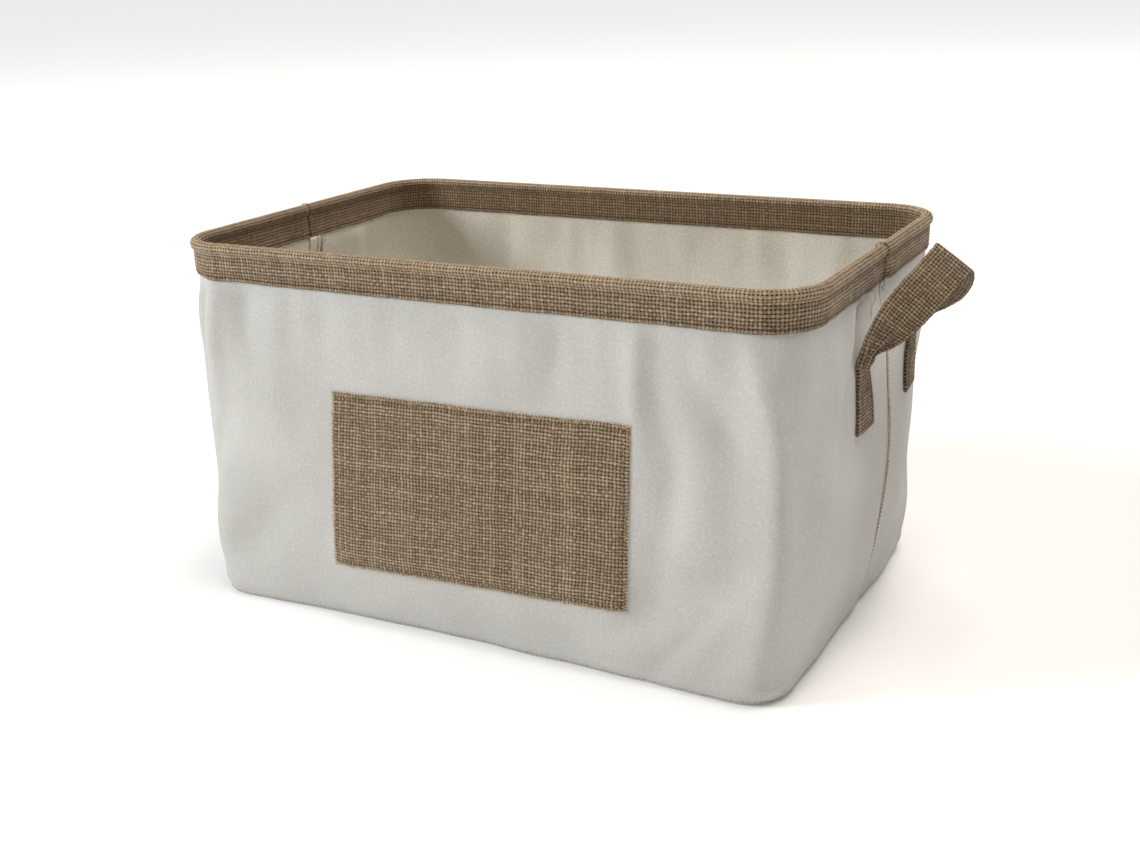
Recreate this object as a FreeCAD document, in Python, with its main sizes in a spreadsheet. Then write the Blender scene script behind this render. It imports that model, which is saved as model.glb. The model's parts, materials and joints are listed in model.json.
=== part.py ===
"""A rectangular fabric storage bin: two canvas side panels sewn to a base, a burlap band folded over a
wire rim, a burlap patch on the front and a strap handle on each end.

Frame: +X along the long side to the right, +Y to the back, +Z up. The origin is on the floor under the
middle of the base. Lengths are in millimetres.
"""
import FreeCAD, Part
import math
import os
from collections import namedtuple

import Sketcher

DRIVING_SIZES = {
    # canvas body: outline (width, depth, corner radius) at four heights
    "canvas_thickness": 1.2,
    "base_width": 380, "base_depth": 264, "base_corner": 30,
    "belly_height": 35, "belly_width": 397, "belly_depth": 270, "belly_corner": 33,
    "shoulder_height": 172, "shoulder_width": 402, "shoulder_depth": 262, "shoulder_corner": 33,
    # rim: overall size over the roll, the band's fold and the wire inside it
    "rim_width": 400, "rim_depth": 260, "rim_height": 220, "rim_corner": 34.5,
    "band_height": 22, "band_thickness": 1.2, "channel_clearance": 0.8,
    "wire_radius": 1.5, "wire_end_gap": 2, "ferrule_length": 24, "ferrule_wall": 0.7,
    # seams
    "binding_width": 8, "binding_thickness": 1.5, "thread_width": 0.8, "thread_height": 0.5,
    "base_seam_height": 4, "band_seam_inset": 2.5,
    # front patch
    "patch_width": 186, "patch_height": 106, "patch_thickness": 1.2, "patch_middle": 90,
    "patch_offset": 12, "patch_seam_inset": 3,
    # handles
    "strap_width": 24, "strap_thickness": 2, "strap_spacing": 100, "strap_end_length": 35,
    "strap_end_bottom": 131, "hinge_height": 170, "hinge_gap": 1.5, "waist_width": 14,
    "waist_thickness": 3, "waist_start": 2, "leg_spread_height": 28, "leg_top_height": 47,
    "arch_radius": 9, "right_lean": 35, "left_lean": 150,
}

Outline = namedtuple("Outline", "height half_width half_depth corner")


class Size:
    """A length that keeps its number beside the spreadsheet expression that gives it."""

    def __init__(self, value, text):
        self.value = value
        self.text = text

    def _combine(self, other, sign, operation):
        other = other if isinstance(other, Size) else Size(other, str(other))
        return Size(operation(self.value, other.value), f"({self.text} {sign} {other.text})")

    def __add__(self, other):
        return self._combine(other, "+", lambda a, b: a + b)

    def __sub__(self, other):
        return self._combine(other, "-", lambda a, b: a - b)

    def __mul__(self, other):
        return self._combine(other, "*", lambda a, b: a * b)

    def __truediv__(self, other):
        return self._combine(other, "/", lambda a, b: a / b)


doc = FreeCAD.newDocument("storage_bin")
sheet = doc.addObject("Spreadsheet::Sheet", "Sizes")
for row, (alias, number) in enumerate(DRIVING_SIZES.items(), start=1):
    sheet.set(f"A{row}", alias)
    sheet.set(f"B{row}", str(number))
    sheet.setAlias(f"B{row}", alias)
doc.recompute()
parts = []


def size(alias):
    return Size(float(sheet.get(alias)), f"Sizes.{alias}")


def bind(target, path, length):
    target.setExpression(path, length.text)


# ---------------------------------------------------------------------------------------------------
# sketches and features
# ---------------------------------------------------------------------------------------------------

def new_body(label):
    body = doc.addObject("PartDesign::Body", label)
    body.Label = label
    return body


def new_sketch(body, role, name, offset=None):
    sketch = body.newObject("Sketcher::SketchObject", name)
    plane = next(feature for feature in body.Origin.OriginFeatures if feature.Role == role)
    sketch.AttachmentSupport = [(plane, "")]
    sketch.MapMode = "FlatFace"
    if offset is not None:
        bind(sketch, "AttachmentOffset.Base.z", offset)
    return sketch


def constrain(sketch, kind, *where):
    """Adds one constraint. A Size at the end is bound to the spreadsheet."""
    length = where[-1] if isinstance(where[-1], Size) else None
    plain = [w.value if isinstance(w, Size) else w for w in where]
    index = sketch.addConstraint(Sketcher.Constraint(kind, *plain))
    if length is not None:
        bind(sketch, f"Constraints[{index}]", length)


def place_point(sketch, geometry, point, across, up):
    constrain(sketch, "DistanceX", -1, 1, geometry, point, across)
    constrain(sketch, "DistanceY", -1, 1, geometry, point, up)


def add_line(sketch, start, end):
    return sketch.addGeometry(Part.LineSegment(FreeCAD.Vector(*start, 0), FreeCAD.Vector(*end, 0)))


def add_arc(sketch, centre, radius, from_degrees, to_degrees):
    circle = Part.Circle(FreeCAD.Vector(*centre, 0), FreeCAD.Vector(0, 0, 1), radius)
    arc = Part.ArcOfCircle(circle, math.radians(from_degrees), math.radians(to_degrees))
    return sketch.addGeometry(arc)


def draw_polygon(sketch, corners):
    """A closed polygon whose corners are pairs of Sizes."""
    points = [(across.value, up.value) for across, up in corners]
    lines = [add_line(sketch, p, points[(i + 1) % len(points)]) for i, p in enumerate(points)]
    for i, line in enumerate(lines):
        constrain(sketch, "Coincident", line, 2, lines[(i + 1) % len(lines)], 1)
        place_point(sketch, line, 1, *corners[i])


def draw_outline(sketch, outline):
    """A rectangle with round corners, centred on the origin."""
    x, y, r = outline.half_width.value, outline.half_depth.value, outline.corner.value
    sides = [
        add_line(sketch, (r - x, -y), (x - r, -y)),
        add_line(sketch, (x, r - y), (x, y - r)),
        add_line(sketch, (x - r, y), (r - x, y)),
        add_line(sketch, (-x, y - r), (-x, r - y)),
    ]
    corners = [
        add_arc(sketch, (x - r, r - y), r, -90, 0),
        add_arc(sketch, (x - r, y - r), r, 0, 90),
        add_arc(sketch, (r - x, y - r), r, 90, 180),
        add_arc(sketch, (r - x, r - y), r, 180, 270),
    ]
    for i, (side, corner) in enumerate(zip(sides, corners)):
        constrain(sketch, "Tangent", side, 2, corner, 1)
        constrain(sketch, "Tangent", corner, 2, sides[(i + 1) % 4], 1)
        constrain(sketch, "Vertical" if i % 2 else "Horizontal", side)
        if i:
            constrain(sketch, "Equal", corners[0], corner)
    constrain(sketch, "Radius", corners[0], outline.corner)
    constrain(sketch, "DistanceX", -1, 1, sides[1], 1, outline.half_width)
    constrain(sketch, "DistanceX", sides[3], 1, -1, 1, outline.half_width)
    constrain(sketch, "DistanceY", -1, 1, sides[2], 1, outline.half_depth)
    constrain(sketch, "DistanceY", sides[0], 1, -1, 1, outline.half_depth)


def draw_half_outline(sketch, outline, end):
    """The half of a round-cornered rectangle on the front (end -1) or back (end 1) of the X axis."""
    x, y, r = outline.half_width.value, outline.half_depth.value * end, outline.corner.value
    first = add_line(sketch, (x, 0), (x, y - r * end))
    middle = add_line(sketch, (x - r, y), (r - x, y))
    last = add_line(sketch, (-x, y - r * end), (-x, 0))
    right_span, left_span = ((0, 90), (90, 180)) if end > 0 else ((270, 360), (180, 270))
    right = add_arc(sketch, (x - r, y - r * end), r, *right_span)
    left = add_arc(sketch, (r - x, y - r * end), r, *left_span)
    start, stop = (1, 2) if end > 0 else (2, 1)
    for geometry, point, arc, arc_point in ((first, 2, right, start), (middle, 1, right, stop),
                                            (middle, 2, left, start), (last, 1, left, stop)):
        constrain(sketch, "Tangent", geometry, point, arc, arc_point)
    constrain(sketch, "Vertical", first)
    constrain(sketch, "Horizontal", middle)
    constrain(sketch, "Vertical", last)
    constrain(sketch, "Equal", right, left)
    constrain(sketch, "Radius", right, outline.corner)
    constrain(sketch, "PointOnObject", first, 1, -1)
    constrain(sketch, "PointOnObject", last, 2, -1)
    constrain(sketch, "DistanceX", -1, 1, first, 1, outline.half_width)
    constrain(sketch, "DistanceX", last, 2, -1, 1, outline.half_width)
    constrain(sketch, "DistanceY", -1, 1, middle, 1, outline.half_depth * end)


def loft_outlines(body, kind, outlines):
    sections = []
    for number, outline in enumerate(outlines):
        sketch = new_sketch(body, "XY_Plane", f"{body.Label}_{kind}_{number}", outline.height)
        draw_outline(sketch, outline)
        sections.append(sketch)
    loft = body.newObject(f"PartDesign::{kind}", f"{body.Label}_{kind}")
    loft.Profile = sections[0]
    loft.Sections = sections[1:]
    loft.Ruled = True


def shell(label, outlines, thickness):
    """A wall of one thickness whose outside follows the outlines, open at the top and the bottom."""
    body = new_body(label)
    loft_outlines(body, "AdditiveLoft", outlines)
    loft_outlines(body, "SubtractiveLoft", [grown(o, thickness * -1) for o in outlines])
    return body


def pad(body, sketch, length, symmetric=False):
    feature = body.newObject("PartDesign::Pad", f"{body.Label}_pad")
    feature.Profile = sketch
    feature.Midplane = symmetric
    bind(feature, "Length", length)
    return feature


def half_space(name, end):
    """A box that holds everything in front of (end -1) or behind (end 1) the X axis."""
    box = doc.addObject("Part::Box", name)
    bind(box, "Length", size("rim_width") * 2)
    bind(box, "Width", size("rim_depth"))
    bind(box, "Height", size("rim_height") * 2)
    bind(box, "Placement.Base.x", size("rim_width") * -1)
    bind(box, "Placement.Base.y", size("rim_depth") * min(end, 0))
    bind(box, "Placement.Base.z", size("rim_height") * -0.5)
    return box


def common(label, *shapes):
    feature = doc.addObject("Part::MultiCommon", label)
    feature.Label = label
    feature.Shapes = list(shapes)
    return feature


def keep(*objects):
    parts.extend(objects)


# ---------------------------------------------------------------------------------------------------
# shared geometry
# ---------------------------------------------------------------------------------------------------

def grown(outline, amount):
    """The outline moved outwards by amount, or inwards where amount is negative."""
    return Outline(outline.height, *(length + amount for length in outline[1:]))


def named_outline(name, height):
    return Outline(height, size(f"{name}_width") / 2, size(f"{name}_depth") / 2, size(f"{name}_corner"))


def roll_radius():
    return size("wire_radius") + size("channel_clearance") + size("band_thickness")


def rim_path(height):
    """The line that the wire and the middle of the canvas follow round the rim."""
    return grown(named_outline("rim", height), roll_radius() * -1)


def wire_height():
    return size("rim_height") - roll_radius()


def band_bottom():
    return size("rim_height") - size("band_height")


def wall_sections():
    """The outside of the canvas, from the floor up to its top edge just under the wire."""
    top = wire_height() - size("wire_radius") - size("channel_clearance")
    half_canvas = size("canvas_thickness") / 2
    return [
        named_outline("base", size("base_seam_height") * 0),
        named_outline("belly", size("belly_height")),
        named_outline("shoulder", size("shoulder_height")),
        grown(rim_path(band_bottom()), half_canvas),
        grown(rim_path(top), half_canvas),
    ]


def wall_at(height):
    """The outside outline of the canvas at any height, between the two nearest sections."""
    sections = wall_sections()
    below = max((s for s in sections if s.height.value <= height.value), key=lambda s: s.height.value)
    above = min((s for s in sections if s.height.value > height.value), key=lambda s: s.height.value)
    share = (height - below.height) / (above.height - below.height)
    return Outline(height, *(low + (high - low) * share for low, high in zip(below[1:], above[1:])))


def band_face():
    """How far the outer face of the burlap band stands out from the middle of the canvas."""
    return size("canvas_thickness") / 2 + size("band_thickness")


def wall_strip(label, side, inner, outer, width, low, high):
    """A narrow upright strip at the middle of an end wall, between two offsets from its outside."""
    heights = [low, size("belly_height"), size("shoulder_height"), high]
    inner_edge = [((wall_at(h).half_width + inner) * side, h) for h in heights]
    outer_edge = [((wall_at(h).half_width + outer) * side, h) for h in reversed(heights)]
    body = new_body(label)
    sketch = new_sketch(body, "XZ_Plane", f"{label}_profile")
    draw_polygon(sketch, inner_edge + outer_edge)
    pad(body, sketch, width, symmetric=True)
    return body


# ---------------------------------------------------------------------------------------------------
# canvas
# ---------------------------------------------------------------------------------------------------

def make_canvas():
    """Front and back panels, each with half of both end walls, and the base between them."""
    wall = shell("canvas_wall", wall_sections(), size("canvas_thickness"))
    keep(common("front_panel", wall, half_space("front_half", -1)))
    keep(common("back_panel", wall, half_space("back_half", 1)))
    base = new_body("base_panel")
    sketch = new_sketch(base, "XY_Plane", "base_outline")
    draw_outline(sketch, grown(wall_sections()[0], size("canvas_thickness") * -1))
    pad(base, sketch, size("canvas_thickness"))
    keep(base)


def make_seam_bindings():
    """Overlocked seam allowances inside the bin: one round the base and one up each end wall."""
    low = size("canvas_thickness")
    high = low + size("binding_width")
    inside = size("canvas_thickness") * -1
    keep(shell("base_seam_binding", [grown(wall_at(low), inside), grown(wall_at(high), inside)],
               size("binding_thickness")))
    for name, side in (("right", 1), ("left", -1)):
        keep(wall_strip(f"{name}_seam_binding", side, inside - size("binding_thickness"), inside,
                        size("binding_width"), high, band_bottom()))


# ---------------------------------------------------------------------------------------------------
# rim
# ---------------------------------------------------------------------------------------------------

def draw_band_profile(sketch):
    """A strip folded over the wire: two legs on the canvas and a round channel at the top."""
    middle, top, bottom = rim_path(wire_height()).half_width, wire_height(), band_bottom()
    gap, face = size("canvas_thickness") / 2, band_face()
    channel, roll = size("wire_radius") + size("channel_clearance"), roll_radius()
    outer_drop = math.sqrt(roll.value ** 2 - face.value ** 2)
    inner_drop = math.sqrt(channel.value ** 2 - gap.value ** 2)
    outer_tilt = math.degrees(math.atan2(outer_drop, face.value))
    inner_tilt = math.degrees(math.atan2(inner_drop, gap.value))
    x, z, low = middle.value, top.value, bottom.value

    outer_leg = add_line(sketch, (x + face.value, low), (x + face.value, z - outer_drop))
    outer_arc = add_arc(sketch, (x, z), roll.value, -outer_tilt, 180 + outer_tilt)
    inner_leg = add_line(sketch, (x - face.value, z - outer_drop), (x - face.value, low))
    inner_hem = add_line(sketch, (x - face.value, low), (x - gap.value, low))
    inner_back = add_line(sketch, (x - gap.value, low), (x - gap.value, z - inner_drop))
    inner_arc = add_arc(sketch, (x, z), channel.value, -inner_tilt, 180 + inner_tilt)
    outer_back = add_line(sketch, (x + gap.value, z - inner_drop), (x + gap.value, low))
    outer_hem = add_line(sketch, (x + gap.value, low), (x + face.value, low))

    for first, end, second, start in ((outer_leg, 2, outer_arc, 1), (outer_arc, 2, inner_leg, 1),
                                      (inner_leg, 2, inner_hem, 1), (inner_hem, 2, inner_back, 1),
                                      (inner_back, 2, inner_arc, 2), (inner_arc, 1, outer_back, 1),
                                      (outer_back, 2, outer_hem, 1), (outer_hem, 2, outer_leg, 1)):
        constrain(sketch, "Coincident", first, end, second, start)
    for leg in (outer_leg, inner_leg, inner_back, outer_back):
        constrain(sketch, "Vertical", leg)
    place_point(sketch, outer_arc, 3, middle, top)
    constrain(sketch, "Coincident", outer_arc, 3, inner_arc, 3)
    constrain(sketch, "Radius", outer_arc, roll)
    constrain(sketch, "Radius", inner_arc, channel)
    place_point(sketch, inner_hem, 1, middle - face, bottom)
    place_point(sketch, inner_hem, 2, middle - gap, bottom)
    place_point(sketch, outer_hem, 1, middle + gap, bottom)
    place_point(sketch, outer_hem, 2, middle + face, bottom)


def make_rim_bands():
    for name, end in (("front_rim_band", -1), ("back_rim_band", 1)):
        body = new_body(name)
        path = new_sketch(body, "XY_Plane", f"{name}_path", wire_height())
        draw_half_outline(path, rim_path(wire_height()), end)
        profile = new_sketch(body, "XZ_Plane", f"{name}_profile")
        draw_band_profile(profile)
        band = body.newObject("PartDesign::AdditivePipe", f"{name}_sweep")
        band.Profile = profile
        band.Spine = (path, [])
        keep(body)


def wire_arm(name, side):
    """Half of the wire: from its end at the back, round one end of the bin to the middle of the front."""
    outline = rim_path(wire_height())
    x, y, r = outline.half_width.value * side, outline.half_depth.value, outline.corner.value
    body = new_body(name)
    path = new_sketch(body, "XY_Plane", f"{name}_path", wire_height())
    start = size("wire_end_gap") / 2 * side
    back = add_line(path, (start.value, y), (x - r * side, y))
    end_wall = add_line(path, (x, y - r), (x, r - y))
    front = add_line(path, (x - r * side, -y), (0, -y))
    back_span, front_span = ((0, 90), (270, 360)) if side > 0 else ((90, 180), (180, 270))
    back_arc = add_arc(path, (x - r * side, y - r), r, *back_span)
    front_arc = add_arc(path, (x - r * side, r - y), r, *front_span)
    near, far = (2, 1) if side > 0 else (1, 2)
    for line, point, arc, arc_point in ((back, 2, back_arc, near), (end_wall, 1, back_arc, far),
                                        (end_wall, 2, front_arc, near), (front, 1, front_arc, far)):
        constrain(path, "Tangent", line, point, arc, arc_point)
    constrain(path, "Horizontal", back)
    constrain(path, "Vertical", end_wall)
    constrain(path, "Horizontal", front)
    constrain(path, "Equal", back_arc, front_arc)
    constrain(path, "Radius", back_arc, outline.corner)
    place_point(path, back, 1, start, outline.half_depth)
    constrain(path, "DistanceX", -1, 1, end_wall, 1, outline.half_width * side)
    constrain(path, "DistanceY", -1, 1, front, 2, outline.half_depth * -1)
    constrain(path, "PointOnObject", front, 2, -2)
    section = new_sketch(body, "YZ_Plane", f"{name}_section", start)
    circle = Part.Circle(FreeCAD.Vector(y, outline.height.value, 0), FreeCAD.Vector(0, 0, 1),
                         size("wire_radius").value)
    index = section.addGeometry(circle)
    place_point(section, index, 3, outline.half_depth, outline.height)
    constrain(section, "Radius", index, size("wire_radius"))
    sweep = body.newObject("PartDesign::AdditivePipe", f"{name}_sweep")
    sweep.Profile = section
    sweep.Spine = (path, [])
    return body


def make_rim_wire():
    """One bent wire whose two ends meet in a crimped ferrule at the middle of the back."""
    wire = doc.addObject("Part::MultiFuse", "rim_wire")
    wire.Label = "rim_wire"
    wire.Shapes = [wire_arm("right_wire_arm", 1), wire_arm("left_wire_arm", -1)]
    keep(wire)

    ferrule = doc.addObject("Part::Cut", "wire_ferrule")
    ferrule.Label = "wire_ferrule"
    ferrule.Base = doc.addObject("Part::Cylinder", "ferrule_outside")
    ferrule.Tool = doc.addObject("Part::Cylinder", "ferrule_bore")
    bind(ferrule.Base, "Radius", size("wire_radius") + size("ferrule_wall"))
    bind(ferrule.Tool, "Radius", size("wire_radius"))
    for cylinder in (ferrule.Base, ferrule.Tool):
        bind(cylinder, "Height", size("ferrule_length"))
        cylinder.Placement.Rotation = FreeCAD.Rotation(FreeCAD.Vector(0, 1, 0), 90)
        bind(cylinder, "Placement.Base.x", size("ferrule_length") / -2)
        bind(cylinder, "Placement.Base.y", rim_path(wire_height()).half_depth)
        bind(cylinder, "Placement.Base.z", wire_height())
    keep(ferrule)


# ---------------------------------------------------------------------------------------------------
# stitching: each run of thread is one continuous line, standing just proud of the cloth
# ---------------------------------------------------------------------------------------------------

def make_body_stitching():
    thread, width = size("thread_height"), size("thread_width")
    low = size("base_seam_height")
    keep(shell("base_seam_stitching", [grown(wall_at(h), thread) for h in (low, low + width)], thread))
    for name, side in (("right", 1), ("left", -1)):
        keep(wall_strip(f"{name}_seam_stitching", side, thread * 0, thread, width, low + width * 2,
                        band_bottom()))


def make_band_stitching():
    """A row round the band near its lower edge, outside and inside, and a row up each band seam."""
    thread, width = size("thread_height"), size("thread_width")
    low = band_bottom() + size("band_seam_inset")
    outside = [grown(rim_path(h), band_face() + thread) for h in (low, low + width)]
    inside = [grown(rim_path(h), band_face() * -1) for h in (low, low + width)]
    rows = doc.addObject("Part::Compound", "rim_band_stitching")
    rows.Label = "rim_band_stitching"
    rows.Links = [shell("outer_band_row", outside, thread), shell("inner_band_row", inside, thread)]
    keep(rows)
    for name, side in (("right", 1), ("left", -1)):
        row = doc.addObject("Part::Box", f"{name}_band_seam_stitching")
        row.Label = f"{name}_band_seam_stitching"
        face = rim_path(low).half_width + band_face()
        bind(row, "Length", thread)
        bind(row, "Width", width)
        bind(row, "Height", wire_height() - size("wire_radius") * 3 - (low + width * 2))
        bind(row, "Placement.Base.x", face if side > 0 else (face + thread) * -1)
        bind(row, "Placement.Base.y", width / -2)
        bind(row, "Placement.Base.z", low + width * 2)
        keep(row)


def box_stitch(label, width, height):
    """A closed rectangular row of thread, drawn flat: X across, Y up, standing along Z."""
    inset, thread = size("patch_seam_inset"), size("thread_width")
    body = new_body(label)
    sketch = new_sketch(body, "XY_Plane", f"{label}_row")
    for edge in (inset, inset + thread):
        x, y = width / 2 - edge, height / 2 - edge
        draw_polygon(sketch, [(x * -1, y * -1), (x, y * -1), (x, y), (x * -1, y)])
    pad(body, sketch, size("thread_height"))
    return body


# ---------------------------------------------------------------------------------------------------
# front patch and handles
# ---------------------------------------------------------------------------------------------------

def slope(axis):
    """Lean, in degrees, of a wall between belly and shoulder: how far its top leans outwards."""
    rise = size("shoulder_height").value - size("belly_height").value
    shift = (size(f"shoulder_{axis}").value - size(f"belly_{axis}").value) / 2
    return math.degrees(math.atan2(shift, rise))


def on_wall(item, across, facing, tilt, height, stand_off, wall_name):
    """Lays a flat piece, drawn in X and Y and facing +Z, on a wall that faces the given way."""
    turn = FreeCAD.Rotation(FreeCAD.Vector(0, 0, 1), facing)
    upright = FreeCAD.Rotation(FreeCAD.Vector(1, 0, 0), 90 + tilt)
    item.Placement.Rotation = turn.multiply(upright)
    outwards = getattr(wall_at(height), wall_name) + stand_off / math.cos(math.radians(tilt))
    facing_x, facing_y = round(math.sin(math.radians(facing))), round(-math.cos(math.radians(facing)))
    bind(item, "Placement.Base.x", outwards * facing_x if facing_x else across)
    bind(item, "Placement.Base.y", outwards * facing_y if facing_y else across)
    bind(item, "Placement.Base.z", height)


def flat_piece(label, width, height, thickness):
    """A flat rectangle of cloth, drawn in X and Y round its middle and padded along Z."""
    body = new_body(label)
    sketch = new_sketch(body, "XY_Plane", f"{label}_outline")
    x, y = width / 2, height / 2
    draw_polygon(sketch, [(x * -1, y * -1), (x, y * -1), (x, y), (x * -1, y)])
    pad(body, sketch, thickness)
    return body


def make_patch():
    width, height = size("patch_width"), size("patch_height")
    thickness = size("patch_thickness")
    patch = flat_piece("front_patch", width, height, thickness)
    row = box_stitch("patch_stitching", width, height)
    for item, stand_off in ((patch, thickness * 0), (row, thickness)):
        on_wall(item, size("patch_offset"), 0, slope("depth"), size("patch_middle"), stand_off,
                "half_depth")
        keep(item)


def make_handle_ends(name, facing):
    """The two strap ends sewn flat on an end wall, with their box stitching."""
    width, height, thickness = size("strap_width"), size("strap_end_length"), size("strap_thickness")
    middle = size("strap_end_bottom") + height / 2
    for place, sign in (("front", -1), ("back", 1)):
        end = flat_piece(f"{name}_handle_{place}_end", width, height, thickness)
        row = box_stitch(f"{name}_handle_{place}_stitching", width, height)
        for item, stand_off in ((end, thickness * 0), (row, thickness)):
            on_wall(item, size("strap_spacing") / 2 * sign, facing, slope("width"), middle, stand_off,
                    "half_width")
            keep(item)


def hinge_reach():
    """Distance of a handle's fold line from the middle of the bin."""
    return wall_at(size("hinge_height")).half_width + size("strap_thickness") + size("hinge_gap")


def make_handle_loop(name, side, lean):
    """The free part of the strap, drawn upright over its fold line and then leant outwards."""
    waist = size("waist_width") / 2
    half_width, half_thickness = size("strap_width") / 2, size("strap_thickness") / 2
    foot, spread, top = size("waist_start"), size("leg_spread_height"), size("leg_top_height")
    radius = size("arch_radius")
    foot_y = size("strap_spacing") / 2
    spread_y = foot_y + (radius - foot_y) * (spread / top)
    body = new_body(f"{name}_handle_loop")
    for leg, end in (("front", -1), ("back", 1)):
        sections = []
        for number, (height, middle, half_x, half_y) in enumerate((
                (foot, foot_y, size("waist_thickness") / 2, waist),
                (spread, spread_y, half_width, half_thickness),
                (top, radius, half_width, half_thickness))):
            sketch = new_sketch(body, "XY_Plane", f"{name}_{leg}_leg_{number}", height)
            near, far = (middle - half_y) * end, (middle + half_y) * end
            draw_polygon(sketch, [(half_x * -1, near), (half_x, near), (half_x, far), (half_x * -1, far)])
            sections.append(sketch)
        loft = body.newObject("PartDesign::AdditiveLoft", f"{name}_{leg}_leg")
        loft.Profile = sections[0]
        loft.Sections = sections[1:]
        loft.Ruled = True
    arch = new_sketch(body, "YZ_Plane", f"{name}_arch_profile")
    outside, inside = radius + half_thickness, radius - half_thickness
    arcs = [add_arc(arch, (0, top.value), r.value, 0, 180) for r in (outside, inside)]
    feet = [add_line(arch, (sign * inside.value, top.value), (sign * outside.value, top.value))
            for sign in (1, -1)]
    for foot_line, point in zip(feet, (1, 2)):
        constrain(arch, "Coincident", foot_line, 1, arcs[1], point)
        constrain(arch, "Coincident", foot_line, 2, arcs[0], point)
        constrain(arch, "Horizontal", foot_line)
    constrain(arch, "Coincident", arcs[0], 3, arcs[1], 3)
    constrain(arch, "PointOnObject", arcs[0], 3, -2)
    constrain(arch, "DistanceY", -1, 1, arcs[0], 3, top)
    constrain(arch, "DistanceY", -1, 1, feet[0], 1, top)
    constrain(arch, "DistanceY", -1, 1, feet[1], 1, top)
    constrain(arch, "Radius", arcs[0], outside)
    constrain(arch, "Radius", arcs[1], inside)
    pad(body, arch, size("strap_width"), symmetric=True)

    body.Placement.Rotation = FreeCAD.Rotation(0 if side > 0 else 180, size(lean).value, 0)
    bind(body, "Placement.Base.x", hinge_reach() * side)
    bind(body, "Placement.Base.z", size("hinge_height"))
    keep(body)


def check_and_export():
    doc.recompute()
    failed = [o.Label for o in doc.Objects if "Invalid" in o.State or "Error" in o.State]
    for part in parts:
        if part.Shape.isNull() or not part.Shape.isValid() or not part.Shape.Solids:
            failed.append(part.Label)
    if failed:
        raise RuntimeError(f"failed objects: {failed}")
    os.makedirs("parts", exist_ok=True)
    for part in parts:
        part.Shape.exportStep(f"parts/{part.Label}.step")
        box = part.Shape.BoundBox
        print(f"{part.Label:32s} solids {len(part.Shape.Solids)} volume {part.Shape.Volume:10.1f} "
              f"x {box.XMin:7.1f} {box.XMax:7.1f} y {box.YMin:7.1f} {box.YMax:7.1f} "
              f"z {box.ZMin:6.1f} {box.ZMax:6.1f}")


make_canvas()
make_seam_bindings()
make_rim_bands()
make_rim_wire()
make_body_stitching()
make_band_stitching()
make_patch()
make_handle_ends("right", 90)
make_handle_ends("left", 270)
make_handle_loop("right", 1, "right_lean")
make_handle_loop("left", -1, "left_lean")
check_and_export()
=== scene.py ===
"""Looks of the fabric storage bin: canvas walls, burlap band, patch and straps, and their sewing.

Lengths are in metres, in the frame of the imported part: +X to the right, +Y to the back, +Z up.
"""
import json
import math
from collections import namedtuple

import bpy
import numpy as np
from bpy.props import FloatProperty, FloatVectorProperty, IntProperty, PointerProperty
from bpy.types import Operator, Panel, PropertyGroup
from mathutils import Matrix, Vector, noise


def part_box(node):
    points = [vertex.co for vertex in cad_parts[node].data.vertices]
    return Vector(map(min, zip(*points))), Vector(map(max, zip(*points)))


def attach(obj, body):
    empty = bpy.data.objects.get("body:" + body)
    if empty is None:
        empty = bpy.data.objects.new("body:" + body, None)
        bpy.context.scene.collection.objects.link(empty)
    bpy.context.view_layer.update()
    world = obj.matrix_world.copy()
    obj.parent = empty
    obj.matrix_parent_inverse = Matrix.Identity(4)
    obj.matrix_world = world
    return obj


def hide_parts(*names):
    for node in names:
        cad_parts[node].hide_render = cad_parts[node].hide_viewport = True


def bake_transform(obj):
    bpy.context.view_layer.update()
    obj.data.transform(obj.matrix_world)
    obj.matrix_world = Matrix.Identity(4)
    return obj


bl_info = {
    "name": "Fabric Storage Bin",
    "version": (1, 0, 0),
    "blender": (4, 5, 0),
    "location": "View3D > Sidebar > Storage Bin",
    "description": "Makes a canvas storage bin with a burlap band, patch and strap handles",
    "category": "Add Mesh",
}

MM = 0.001
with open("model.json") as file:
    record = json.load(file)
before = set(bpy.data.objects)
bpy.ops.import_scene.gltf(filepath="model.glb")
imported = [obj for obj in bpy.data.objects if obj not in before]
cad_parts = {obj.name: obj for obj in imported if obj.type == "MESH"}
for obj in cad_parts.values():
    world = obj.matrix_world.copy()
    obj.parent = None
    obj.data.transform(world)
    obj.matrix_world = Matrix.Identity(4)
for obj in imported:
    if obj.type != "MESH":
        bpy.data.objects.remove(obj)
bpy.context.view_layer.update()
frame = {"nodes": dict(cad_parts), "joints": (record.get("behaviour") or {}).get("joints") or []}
FRONT, BACK = -1, 1
RIGHT, LEFT = 1, -1
SIDE_NAMES = {RIGHT: "right", LEFT: "left"}
END_NAMES = {FRONT: "front", BACK: "back"}


# --- sizes and colours that a user would change ---

def length(name, description, default, **limits):
    return FloatProperty(name=name, description=description, default=default, unit="LENGTH",
                         subtype="DISTANCE", precision=4, **limits)


def colour(name, description, default):
    return FloatVectorProperty(name=name, description=description, default=default, subtype="COLOR",
                               min=0, max=1)


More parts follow.
